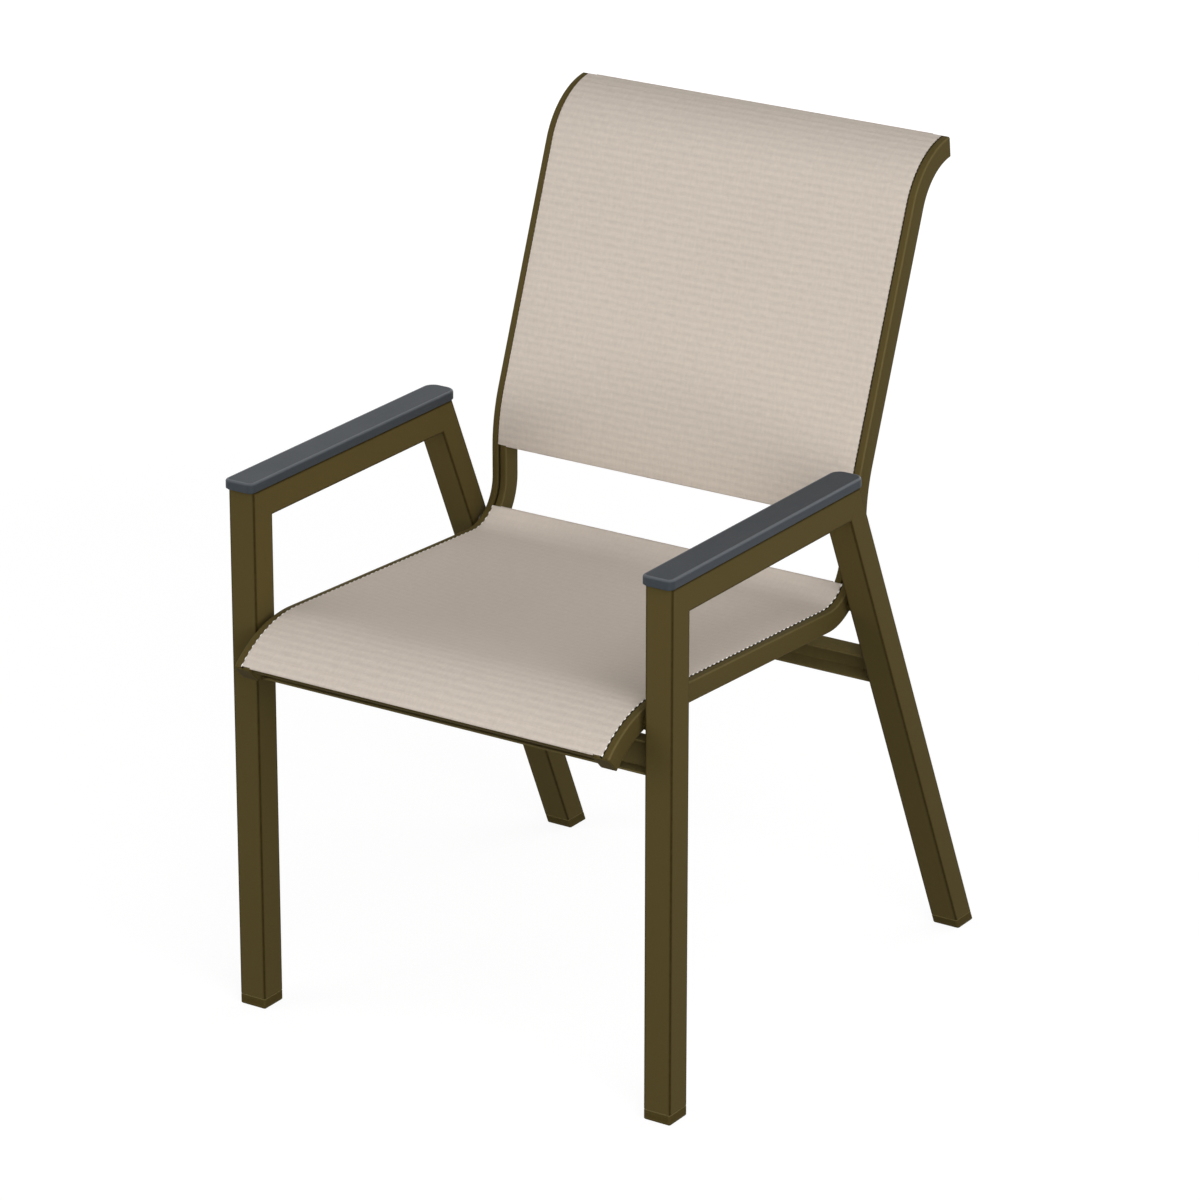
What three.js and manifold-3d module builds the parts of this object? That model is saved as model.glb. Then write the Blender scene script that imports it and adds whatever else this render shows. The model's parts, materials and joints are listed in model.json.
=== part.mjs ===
// Sling patio dining chair with arms. Millimetres, +Z up, the sitter faces -Y.
// Left is the sitter's left, at +X. Sizes along Y count from the front face of the front legs.
import * as THREE from 'three';
import { mergeVertices } from 'three/addons/utils/BufferGeometryUtils.js';
import Module from 'manifold-3d';

const wasm = await Module();
wasm.setup();
const { degToRad } = THREE.MathUtils;

// Fits shared by every piece
const seatGap = 0.3;
const overrun = 6;

// Side frames of mitred square tube
const frameWidth = 590;
const tubeWidth = 35;
const tubeWall = 2;
const tubeCorner = 2;
const tubeInnerCorner = 0.8;
const frontLegDepth = 35;
const armTubeHeight = 35;
const armTubeTop = 633;
const rearLegDepth = 32;
const rearLegReach = 639;
const rearLegRake = degToRad(24.2);

// Foot glides
const glideHeight = 12.8;
const glideChamfer = 1.6;
const glideStemHeight = 24;
const glideStemWall = 2.5;

// Crossbars, an open channel facing forward
const crossbarHeight = 40;
const crossbarDepth = 18.5;
const crossbarWall = 2.5;
const frontCrossbarLevel = 428;
const rearCrossbarLevel = 381;

// Sling rail section: spline channel at the front, hollow chamber behind it
const railWidth = 21;
const railDepth = 25;
const railWall = 1.8;
const railCorner = 2;
const railOuterCorner = 4.5;
const slotWidth = 3.6;
const channelRadius = 4.6;
const channelLip = 3;
const railStandoff = 9.5;

// Front line of the sling rail in the side plane
const seatSetback = 49.5;
const seatLevel = 486.2;
const seatSlope = degToRad(2.56);
const frontDrop = degToRad(44);
const frontRadius = 144;
const seatRun = 352.7;
const bightRadius = 52;
const uprightRun = 33.5;
const backRadius = 210;
const backRecline = degToRad(20.35);
const backRun = 297.6;
const flareRadius = 96.6;
const flareAngle = degToRad(83);
const bendStep = degToRad(8);

// Rail end plugs
const railPlugFlange = 1.6;
const railPlugInsert = 12;

// Slings and the splines that hold them
const slingThickness = 1.6;
const seatSlingBight = 48.4;
const backSlingLift = 40;
const seatSag = 12;
const backSag = 8;
const sagPower = 3;
const slingColumns = 12;
const slingStep = 60;
const splineRadius = 3.2;

// Spreader bars and their end plugs
const barBreadth = 20;
const barThickness = 12;
const barCorner = 5;
const barWall = 1.6;
const barEdgeMargin = 1.5;
const barDrop = 0.6;
const barPlugFlange = 2;
const barPlugInsert = 14;
const barPegRadius = 3.2;
const barPegLength = 4.2;

// Bolts that hold the rails to the legs
const boltRadius = 3.2;
const boltHeadRadius = 5.4;
const boltHeadHeight = 3.2;
const boltEndShort = 1.5;
const spacerRadius = 8;
const insertRadius = 5;
const insertFlangeRadius = 7;
const insertFlangeThickness = 1.4;
const insertLength = 15;

// Arm caps and their screws
const capThickness = 12.2;
const capOverhang = 2.5;
const capFrontOverhang = 7;
const capRearOverhang = 8;
const capFrontCorner = 9;
const capRearCorner = 14;
const capEdgeRadius = 4;
const capFootRadius = 0.8;
const capScrewInset = 70;
const screwRadius = 2.4;
const screwHeadRadius = 4.8;
const screwHeadHeight = 2.6;
const screwBite = 7.5;

// Places that follow from the sizes above
const legInnerX = frameWidth / 2 - tubeWidth;
const legCentreX = frameWidth / 2 - tubeWidth / 2;
const railOuterX = legInnerX - railStandoff;
const railCentreX = railOuterX - railWidth / 2;
const railInnerX = railOuterX - railWidth;
const armTubeBottom = armTubeTop - armTubeHeight;
const channelDepth = channelLip + Math.sqrt(channelRadius ** 2 - (slotWidth / 2) ** 2);
const splineDepth = channelLip + Math.sqrt((splineRadius + seatGap) ** 2 - (slotWidth / 2) ** 2);
const chamberTop = channelDepth + channelRadius + railWall;
const barPegEnd = railInnerX + barPegLength;
const boltDepth = barDrop + barThickness + boltHeadRadius + seatGap;

const finishes = {
  coat: { color: 0x544a2c, roughness: 0.55, metalness: 0.35 },
  plastic: { color: 0x4a4128, roughness: 0.6, metalness: 0 },
  cap: { color: 0x484c50, roughness: 0.5, metalness: 0 },
  sling: { color: 0xd0c6ba, roughness: 0.85, metalness: 0 },
  spline: { color: 0x2c2b29, roughness: 0.7, metalness: 0 },
  steel: { color: 0xa9a9a5, roughness: 0.35, metalness: 0.9 },
};

const chair = new THREE.Group();

function addPiece(name, finish, geometry) {
  const mesh = new THREE.Mesh(closed(geometry), new THREE.MeshStandardMaterial(finishes[finish]));
  mesh.name = name;
  chair.add(mesh);
  return mesh;
}

// Welds a geometry into one skin, drops collapsed triangles and turns its faces outward.
function closed(geometry) {
  const bare = geometry.clone();
  bare.deleteAttribute('normal');
  bare.deleteAttribute('uv');
  const welded = mergeVertices(bare);
  const points = welded.attributes.position;
  const source = welded.index.array;
  const kept = [];
  let volume = 0;
  const [a, b, c] = [new THREE.Vector3(), new THREE.Vector3(), new THREE.Vector3()];
  for (let i = 0; i < source.length; i += 3) {
    const [p, q, r] = [source[i], source[i + 1], source[i + 2]];
    if (p === q || q === r || r === p) continue;
    kept.push(p, q, r);
    a.fromBufferAttribute(points, p);
    b.fromBufferAttribute(points, q);
    c.fromBufferAttribute(points, r);
    volume += a.dot(b.cross(c));
  }
  if (volume < 0) kept.reverse();
  welded.setIndex(kept);
  welded.computeVertexNormals();
  return welded;
}

function toSolid(geometry) {
  const skin = closed(geometry);
  return new wasm.Manifold(new wasm.Mesh({
    numProp: 3,
    vertProperties: Float32Array.from(skin.attributes.position.array),
    triVerts: Uint32Array.from(skin.index.array),
  }));
}

function fromSolid(solid) {
  const { vertProperties, triVerts } = solid.getMesh();
  const geometry = new THREE.BufferGeometry();
  geometry.setAttribute('position', new THREE.BufferAttribute(vertProperties, 3));
  geometry.setIndex(new THREE.BufferAttribute(triVerts, 1));
  return geometry;
}

function cut(body, tools) {
  const solid = tools.reduce((left, tool) => left.subtract(toSolid(tool)), toSolid(body));
  return fromSolid(solid);
}

function join(...pieces) {
  const solid = pieces.map(toSolid).reduce((whole, piece) => whole.add(piece));
  return fromSolid(solid);
}

// Joins rings of equal count into a closed skin; the flat outline says how the two ends are filled.
function loft(rings, outline) {
  const turned = THREE.ShapeUtils.isClockWise(outline);
  const flat = turned ? [...outline].reverse() : outline;
  const loops = turned ? rings.map((ring) => [...ring].reverse()) : rings;
  const count = flat.length;
  const last = (loops.length - 1) * count;
  const indices = [];
  for (let row = 0; row < last; row += count) {
    for (let i = 0; i < count; i += 1) {
      const j = (i + 1) % count;
      indices.push(row + i, row + j, row + j + count);
      indices.push(row + i, row + j + count, row + i + count);
    }
  }
  for (const [a, b, c] of THREE.ShapeUtils.triangulateShape(flat, [])) {
    indices.push(c, b, a);
    indices.push(last + a, last + b, last + c);
  }
  const geometry = new THREE.BufferGeometry().setFromPoints(loops.flat());
  geometry.setIndex(indices);
  return geometry;
}

// Rectangle centred on the origin; corners run from the +x +y one counterclockwise.
function roundedRect(width, height, corners, Kind = THREE.Shape) {
  const [right, top] = [width / 2, height / 2];
  const [ne, nw, sw, se] = corners;
  const quarter = Math.PI / 2;
  const shape = new Kind();
  shape.moveTo(right, top - ne);
  shape.absarc(right - ne, top - ne, ne, 0, quarter);
  shape.absarc(nw - right, top - nw, nw, quarter, 2 * quarter);
  shape.absarc(sw - right, sw - top, sw, 2 * quarter, 3 * quarter);
  shape.absarc(right - se, se - top, se, 3 * quarter, 4 * quarter);
  shape.closePath();
  return shape;
}

const evenCorners = (radius) => [radius, radius, radius, radius];

// Extrusion between two places along its own axis, in either order.
function extrude(shape, from, to, curveSegments) {
  const depth = Math.abs(to - from);
  const solid = new THREE.ExtrudeGeometry(shape, { depth, steps: 1, curveSegments, bevelEnabled: false });
  return solid.translate(0, 0, Math.min(from, to));
}

// The same along X, with the shape's x kept along Y and its y along Z.
function extrudeAlongX(shape, from, to) {
  return extrude(shape, from, to, 2).rotateY(Math.PI / 2).rotateX(Math.PI / 2);
}

// A body of revolution whose profile points are [radius, place along X].
function turnedAlongX(profile, sides) {
  const lathe = new THREE.LatheGeometry(profile.map(([radius, x]) => new THREE.Vector2(radius, x)), sides);
  return lathe.rotateZ(-Math.PI / 2);
}

function rodAlongX(radius, from, to, sides = 12) {
  return turnedAlongX([[0, from], [radius, from], [radius, to], [0, to]], sides);
}

function rodAlongZ(radius, from, to, sides = 12) {
  return rodAlongX(radius, -to, -from, sides).rotateY(Math.PI / 2);
}

const sides = [['left', 1], ['right', -1]];

// The rail's front line as a chain of straight runs and bends, from its low front end to its top end.
// The heading is the angle from +Y towards +Z; a bend's length is measured along that line.
class RailLine {
  constructor() {
    const bend = (radius, turn) => ({ length: radius * Math.abs(turn), turn });
    const run = (length) => ({ length, turn: 0 });
    this.parts = [
      bend(frontRadius, -frontDrop - seatSlope),
      run(seatRun),
      bend(bightRadius, Math.PI / 2 + seatSlope),
      run(uprightRun),
      bend(backRadius, -backRecline),
      run(backRun),
      bend(flareRadius, backRecline - flareAngle),
    ];
    let pose = { s: 0, y: 0, z: 0, heading: frontDrop };
    for (const part of this.parts) {
      part.from = pose;
      pose = this.advance(part, part.length);
    }
    this.length = pose.s;
    const anchor = this.parts[1].from;
    const shift = { y: seatSetback - anchor.y, z: seatLevel - anchor.z };
    for (const part of this.parts) {
      part.from.y += shift.y;
      part.from.z += shift.z;
    }
  }

  advance(part, distance) {
    const { s, y, z, heading } = part.from;
    const curvature = part.turn / part.length;
    const end = heading + curvature * distance;
    if (part.turn === 0) {
      return { s: s + distance, y: y + distance * Math.cos(end), z: z + distance * Math.sin(end), heading };
    }
    return {
      s: s + distance,
      y: y + (Math.sin(end) - Math.sin(heading)) / curvature,
      z: z - (Math.cos(end) - Math.cos(heading)) / curvature,
      heading: end,
    };
  }

  pose(s) {
    const part = this.parts.findLast(({ from }) => from.s <= s) ?? this.parts[0];
    return this.advance(part, s - part.from.s);
  }

  // Unit vector out of the rail's front face, towards the sitter.
  front(s) {
    const { heading } = this.pose(s);
    return new THREE.Vector3(0, -Math.sin(heading), Math.cos(heading));
  }

  // Point at a station, off the middle plane by x and raised off the front face by height.
  point(s, x, height) {
    const { y, z } = this.pose(s);
    return new THREE.Vector3(x, y, z).addScaledVector(this.front(s), height);
  }

  // Stations from one place to another, close enough to follow every bend.
  stations(from, to, step = Infinity) {
    const list = [from];
    for (const { from: start, length, turn } of this.parts) {
      const count = Math.max(1, Math.ceil(Math.abs(turn) / bendStep), Math.ceil(length / step));
      for (let i = 0; i < count; i += 1) list.push(start.s + (length * i) / count);
    }
    const inside = list.filter((s) => s > from + seatGap && s < to - seatGap);
    return [from, ...inside, to];
  }

  // The station where a rail line at some depth crosses a line given as the Y it has at each Z.
  crossing(lineY, depth, from, to) {
    let [low, high] = [from, to];
    const ahead = (s) => {
      const { y, z } = this.point(s, 0, -depth);
      return y > lineY(z);
    };
    for (let i = 0; i < 40; i += 1) {
      const middle = (low + high) / 2;
      if (ahead(middle)) high = middle;
      else low = middle;
    }
    return (low + high) / 2;
  }
}

// Path for an extrusion that keeps its section square to the rail line.
class RailPath extends THREE.Curve {
  constructor(line, stations, x) {
    super();
    this.line = line;
    this.list = stations;
    this.x = x;
  }

  getSpacedPoints() {
    return this.list.map((s) => this.line.point(s, this.x, 0));
  }

  computeFrenetFrames() {
    const binormals = this.list.map((s) => this.line.front(s));
    const normals = this.list.map(() => new THREE.Vector3(1, 0, 0));
    return { tangents: binormals, normals, binormals };
  }
}

const rail = new RailLine();
const [, seatPart, bightPart, uprightPart] = rail.parts;
const seatSpan = [railPlugFlange, bightPart.from.s + seatSlingBight];
const backSpan = [uprightPart.from.s + backSlingLift, rail.length - railPlugFlange];

function sweep(shape, from, to, x, curveSegments) {
  const path = new RailPath(rail, rail.stations(from, to), x);
  const steps = path.list.length - 1;
  return new THREE.ExtrudeGeometry(shape, { steps, curveSegments, bevelEnabled: false, extrudePath: path });
}

// Legs: each has a centre line in the side plane and a level section that the rake stretches.
const frontLeg = { centreY: () => frontLegDepth / 2, depth: frontLegDepth, rake: 0 };
const rearLegStretch = 1 / Math.cos(rearLegRake);
const rearLeg = {
  centreY: (z) => rearLegReach + (rearLegDepth * rearLegStretch) / 2 - z * Math.tan(rearLegRake),
  depth: rearLegDepth,
  rake: rearLegRake,
};
const rearFaceY = (z) => rearLeg.centreY(z) + (rearLegDepth * rearLegStretch) / 2;
const foreFaceY = (z) => rearLeg.centreY(z) - (rearLegDepth * rearLegStretch) / 2;

const sidePoint = (y, z) => new THREE.Vector3(0, y, z);

// Cut plane through an outer and an inner corner of two tubes, drawn back by half the joint gap.
function mitrePlane(outer, inner, keep) {
  const normal = new THREE.Vector3(0, outer.z - inner.z, inner.y - outer.y).normalize();
  return { normal, point: inner.clone().addScaledVector(normal, (keep * seatGap) / 2) };
}

const floorPlane = (z) => ({ normal: new THREE.Vector3(0, 0, 1), point: sidePoint(0, z) });
const frontCorners = [
  sidePoint(0, armTubeTop),
  sidePoint(frontLegDepth, armTubeBottom),
];
const rearCorners = [
  sidePoint(rearFaceY(armTubeTop), armTubeTop),
  sidePoint(foreFaceY(armTubeBottom), armTubeBottom),
];

// Straight hollow tube along an axis in the side plane, its two ends cut on planes.
function cutTube(x, base, axis, depth, planes) {
  const across = new THREE.Vector3(0, -axis.z, axis.y);
  const shape = roundedRect(tubeWidth, depth, evenCorners(tubeCorner));
  const bore = [tubeWidth - 2 * tubeWall, depth - 2 * tubeWall];
  shape.holes.push(roundedRect(...bore, evenCorners(tubeInnerCorner), THREE.Path));
  const geometry = extrude(shape, 0, 1, 1);
  const points = geometry.attributes.position;
  const corner = new THREE.Vector3();
  for (let i = 0; i < points.count; i += 1) {
    const { normal, point } = planes[Math.round(points.getZ(i))];
    corner.copy(base).addScaledVector(across, points.getY(i));
    corner.x = x + points.getX(i);
    const reach = point.clone().sub(corner).dot(normal) / axis.dot(normal);
    corner.addScaledVector(axis, reach);
    points.setXYZ(i, corner.x, corner.y, corner.z);
  }
  return geometry;
}

function legAxis(leg) {
  return new THREE.Vector3(0, -Math.sin(leg.rake), Math.cos(leg.rake));
}

// Bolts go where the middle of a leg meets the hollow chamber of the rail.
function boltPlace(leg, from, to) {
  return rail.point(rail.crossing(leg.centreY, boltDepth, from, to), 0, -boltDepth);
}

const frontBolt = boltPlace(frontLeg, 0, bightPart.from.s);
const rearBolt = boltPlace(rearLeg, seatPart.from.s, uprightPart.from.s);
const bolts = [['front', frontBolt], ['rear', rearBolt]];

function addLeg(name, side, leg, topPlane, bolt) {
  const x = side * legCentreX;
  const base = sidePoint(leg.centreY(0), 0);
  const tube = cutTube(x, base, legAxis(leg), leg.depth, [floorPlane(glideHeight + seatGap), topPlane]);
  const from = legInnerX - overrun;
  const hole = rodAlongX(insertRadius + seatGap, side * from, side * (legInnerX + tubeWall + overrun));
  hole.translate(0, bolt.y, bolt.z);
  addPiece(name, 'coat', cut(tube, [hole]));
}

// Screws stand between the two ends of the arm cap, at the same inset from each.
const capFront = -capFrontOverhang;
const capRear = rearFaceY(armTubeTop) + capRearOverhang;
const capBottom = armTubeTop + seatGap;
const screwPlaces = [['front', capFront + capScrewInset], ['rear', capRear - capScrewInset]];

function addArmRail(name, side) {
  const x = side * legCentreX;
  const base = sidePoint(0, armTubeTop - armTubeHeight / 2);
  const planes = [mitrePlane(...frontCorners, 1), mitrePlane(...rearCorners, -1)];
  const tube = cutTube(x, base, new THREE.Vector3(0, 1, 0), armTubeHeight, planes);
  const holes = screwPlaces.map(([, y]) => {
    const hole = rodAlongZ(screwRadius + seatGap, armTubeBottom - overrun, armTubeTop + overrun);
    return hole.translate(x, y, 0);
  });
  addPiece(name, 'coat', cut(tube, holes));
}

// Plan of the arm cap, drawn in by an inset, with its rear end rounder than its front.
function capOutline(inset) {
  const width = tubeWidth + 2 * (capOverhang - inset);
  const length = capRear - capFront - 2 * inset;
  const [front, rear] = [capFrontCorner - inset, capRearCorner - inset];
  return roundedRect(width, length, [rear, rear, front, front]).getPoints(3).slice(0, -1);
}

function addArmCap(name, side) {
  const centreY = (capFront + capRear) / 2;
  const top = capBottom + capThickness;
  const levels = [[capFootRadius, capBottom], [0, capBottom + capFootRadius]];
  const edgeSteps = 4;
  for (let i = 0; i <= edgeSteps; i += 1) {
    const angle = (Math.PI / 2) * (i / edgeSteps);
    levels.push([capEdgeRadius * (1 - Math.cos(angle)), top - capEdgeRadius * (1 - Math.sin(angle))]);
  }
  const rings = levels.map(([inset, z]) => (
    capOutline(inset).map((point) => new THREE.Vector3(point.x + side * legCentreX, point.y + centreY, z))
  ));
  const slab = loft(rings, capOutline(0));
  const pilots = screwPlaces.map(([, y]) => {
    const pilot = rodAlongZ(screwRadius + seatGap, capBottom - overrun, capBottom + screwBite + seatGap);
    return pilot.translate(side * legCentreX, y, 0);
  });
  addPiece(name, 'cap', cut(slab, pilots));
}

function addCapScrews(sideName, side) {
  const under = armTubeBottom - seatGap;
  const tip = capBottom + screwBite;
  const profile = [
    [0, under - screwHeadHeight], [screwHeadRadius, under - screwHeadHeight], [screwHeadRadius, under],
    [screwRadius, under], [screwRadius, tip - screwRadius], [0, tip],
  ];
  for (const [place, y] of screwPlaces) {
    const screw = addPiece(`arm_cap_screw_${sideName}_${place}`, 'steel', turnedAlongX(profile, 12));
    screw.rotation.y = -Math.PI / 2;
    screw.position.set(side * legCentreX, y, 0);
  }
}

// Glide: a capped foot that follows the leg's rake, with a hollow stem up inside the tube.
function addGlide(name, side, leg) {
  const stretch = 1 / Math.cos(leg.rake);
  const place = (point, z) => (
    new THREE.Vector3(side * legCentreX + point.x, leg.centreY(z) + point.y * stretch, z)
  );
  const outline = (inset, corner) => (
    roundedRect(tubeWidth - 2 * inset, leg.depth - 2 * inset, evenCorners(corner)).getPoints(1).slice(0, -1)
  );
  const ring = (inset, corner, z) => outline(inset, corner).map((point) => place(point, z));
  const foot = loft([
    ring(glideChamfer, tubeCorner, 0),
    ring(0, tubeCorner, glideChamfer),
    ring(0, tubeCorner, glideHeight),
  ], outline(0, tubeCorner));
  const stemInset = tubeWall + seatGap;
  const stemTop = glideHeight + glideStemHeight;
  const stem = loft([
    ring(stemInset, tubeCorner, glideChamfer),
    ring(stemInset, tubeCorner, stemTop),
  ], outline(stemInset, tubeCorner));
  const boreInset = stemInset + glideStemWall;
  const bore = loft([
    ring(boreInset, tubeInnerCorner, glideHeight),
    ring(boreInset, tubeInnerCorner, stemTop + overrun),
  ], outline(boreInset, tubeInnerCorner));
  addPiece(name, 'plastic', cut(join(foot, stem), [bore]));
}

// Channel section of a crossbar: back web with a flange forward at its top and its foot.
function addCrossbar(name, leg, level) {
  const [reach, rise] = [crossbarDepth / 2, crossbarHeight / 2];
  const [web, flange] = [reach - crossbarWall, rise - crossbarWall];
  const corners = [
    [-reach, -rise], [reach, -rise], [reach, rise], [-reach, rise],
    [-reach, flange], [web, flange], [web, -flange], [-reach, -flange],
  ];
  const shape = new THREE.Shape(corners.map(([y, z]) => new THREE.Vector2(y, z)));
  const half = legInnerX - seatGap;
  const mesh = addPiece(name, 'coat', extrudeAlongX(shape, -half, half));
  mesh.rotation.x = leg.rake;
  mesh.position.set(0, leg.centreY(level), level);
}

// Rail section: x outboard, y out of the front face, with the spline channel open through the slot.
function railShape(side) {
  const half = railWidth / 2;
  const lip = slotWidth / 2;
  const mouth = Math.asin(lip / channelRadius);
  const up = Math.PI / 2;
  const shape = new THREE.Shape();
  shape.moveTo(-lip, -channelLip);
  shape.lineTo(-lip, 0);
  shape.lineTo(-half + railCorner, 0);
  shape.absarc(-half + railCorner, -railCorner, railCorner, up, 2 * up);
  shape.absarc(-half + railCorner, railCorner - railDepth, railCorner, 2 * up, 3 * up);
  shape.absarc(half - railCorner, railCorner - railDepth, railCorner, 3 * up, 4 * up);
  shape.absarc(half - railOuterCorner, -railOuterCorner, railOuterCorner, 0, up);
  shape.lineTo(lip, 0);
  shape.lineTo(lip, -channelLip);
  shape.absarc(0, -channelDepth, channelRadius, up - mouth, -up, true);
  shape.absarc(0, -channelDepth, channelRadius, -up, mouth - 3 * up, true);
  shape.closePath();
  shape.holes.push(chamberPath(0));
  return mirrored(shape, side);
}

function chamberCorners(clearance) {
  const x = railWidth / 2 - railWall - clearance;
  const [top, foot] = [-chamberTop - clearance, railWall + clearance - railDepth];
  return [[x, top], [-x, top], [-x, foot], [x, foot]].map(([u, v]) => new THREE.Vector2(u, v));
}

const chamberPath = (clearance) => new THREE.Path(chamberCorners(clearance));

// The section as points, turned over for the rail on the other side.
function mirrored(shape, side) {
  const { shape: outer, holes } = shape.extractPoints(2);
  const turn = (points) => points.map(({ x, y }) => new THREE.Vector2(-x, y)).reverse();
  const flip = side > 0 ? (points) => points : turn;
  const copy = new THREE.Shape(flip(outer));
  copy.holes = holes.map((hole) => new THREE.Path(flip(hole)));
  return copy;
}

// Each bar sits under the end of a sling; its station is the middle of the bar.
const barInset = barEdgeMargin + barBreadth / 2;
const bars = [
  ['seat_front', seatSpan[0] + barInset],
  ['seat_rear', seatSpan[1] - barInset],
  ['back_lower', backSpan[0] + barInset],
  ['back_upper', backSpan[1] - barInset],
];
const barDepth = barDrop + barThickness / 2;

function addSlingRail(name, side) {
  const x = side * railCentreX;
  const body = sweep(railShape(side), railPlugFlange, rail.length - railPlugFlange, x, 2);
  const from = side * (railInnerX - overrun);
  const boltHoles = bolts.map(([, { y, z }]) => (
    rodAlongX(boltRadius + seatGap, from, side * (railOuterX + overrun)).translate(0, y, z)
  ));
  const pegHoles = bars.map(([, station]) => {
    const { y, z } = rail.point(station, 0, -barDepth);
    return rodAlongX(barPegRadius + seatGap, from, side * (barPegEnd + seatGap)).translate(0, y, z);
  });
  addPiece(name, 'coat', cut(body, [...boltHoles, ...pegHoles]));
}

// End plug: a flange over the rail's end and an insert that follows the chamber inside.
function addRailPlug(name, side, atTop) {
  const x = side * railCentreX;
  const corners = [railOuterCorner, railCorner, railCorner, railCorner];
  const outline = roundedRect(railWidth, railDepth, corners).getPoints(2);
  const lowered = outline.map((point) => new THREE.Vector2(point.x, point.y - railDepth / 2));
  const flange = mirrored(new THREE.Shape(lowered), side);
  const stem = new THREE.Shape(chamberCorners(seatGap));
  const span = (from, to) => (atTop ? [rail.length - to, rail.length - from] : [from, to]);
  const cap = sweep(flange, ...span(0, railPlugFlange - seatGap), x, 2);
  const insert = sweep(stem, ...span(railPlugFlange / 2, railPlugInsert), x, 1);
  addPiece(name, 'plastic', join(cap, insert));
}

function addSpline(name, side, from, to) {
  const shape = new THREE.Shape();
  shape.absarc(0, -splineDepth, splineRadius, 0, 2 * Math.PI);
  addPiece(name, 'spline', sweep(shape, from, to, side * railCentreX, 4));
}

// How far the sling hangs below its rails, as a share of its full sag: none over the bars.
function sagShare(s, from, to) {
  const flat = barInset + barBreadth;
  const along = THREE.MathUtils.clamp((s - from - flat) / (to - from - 2 * flat), 0, 1);
  return 1 - Math.abs(2 * along - 1) ** sagPower;
}

// Section of a sling across the chair as [x, height over the rail face, share of the sag].
function slingSection() {
  const half = slingThickness / 2;
  const [low, high] = [seatGap, seatGap + slingThickness];
  const tongue = seatGap + splineRadius - splineDepth;
  const bendX = railCentreX - half;
  const slant = slingThickness * Math.SQRT1_2;
  const spanX = [];
  for (let i = 0; i <= slingColumns; i += 1) spanX.push(railInnerX * ((2 * i) / slingColumns - 1));
  const crown = (x) => 1 - (x / railInnerX) ** 2;
  const upper = spanX.map((x) => [x, high, crown(x)]);
  const lower = spanX.map((x) => [x, low, crown(x)]).reverse();
  const rightEdge = [
    [bendX, high, 0], [bendX + slant, low + slant, 0], [bendX + slingThickness, low, 0],
    [bendX + slingThickness, tongue, 0], [bendX, tongue, 0], [bendX, low, 0],
  ];
  const leftEdge = rightEdge.map(([x, height, share]) => [-x, height, share]).reverse();
  return [...upper, ...rightEdge, ...lower, ...leftEdge];
}

function addSling(name, from, to, sag) {
  const section = slingSection();
  const rings = rail.stations(from, to, slingStep).map((s) => (
    section.map(([x, height, share]) => rail.point(s, x, height - sag * share * sagShare(s, from, to)))
  ));
  addPiece(name, 'sling', loft(rings, section.map(([x, height]) => new THREE.Vector2(x, height))));
}

// A spreader bar stands square to the rail line; its group carries the bar and both end plugs.
function addSpreaderBar(name, station) {
  const half = railInnerX - barPlugFlange - 2 * seatGap;
  const shape = roundedRect(barBreadth, barThickness, evenCorners(barCorner));
  const bore = [barBreadth - 2 * barWall, barThickness - 2 * barWall];
  shape.holes.push(roundedRect(...bore, evenCorners(barCorner - barWall), THREE.Path));
  const tube = extrudeAlongX(shape, -half, half);
  const pieces = [addPiece(`${name}_bar`, 'coat', tube)];
  for (const [sideName, side] of sides) pieces.push(addBarPlug(`${name}_bar_plug_${sideName}`, side));
  const { heading } = rail.pose(station);
  const { y, z } = rail.point(station, 0, -barDepth);
  for (const piece of pieces) {
    piece.rotation.x = heading;
    piece.position.set(0, y, z);
  }
}

function addBarPlug(name, side) {
  const flange = roundedRect(barBreadth, barThickness, evenCorners(barCorner));
  const inset = barWall + seatGap;
  const stemSize = [barBreadth - 2 * inset, barThickness - 2 * inset];
  const stem = roundedRect(...stemSize, evenCorners(barCorner - inset));
  const face = railInnerX - seatGap;
  const root = face - barPlugFlange;
  const middle = (root + face) / 2;
  const plug = join(
    extrudeAlongX(flange, side * root, side * face),
    extrudeAlongX(stem, side * (root - barPlugInsert), side * middle),
    rodAlongX(barPegRadius, side * middle, side * barPegEnd),
  );
  return addPiece(name, 'plastic', plug);
}

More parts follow.
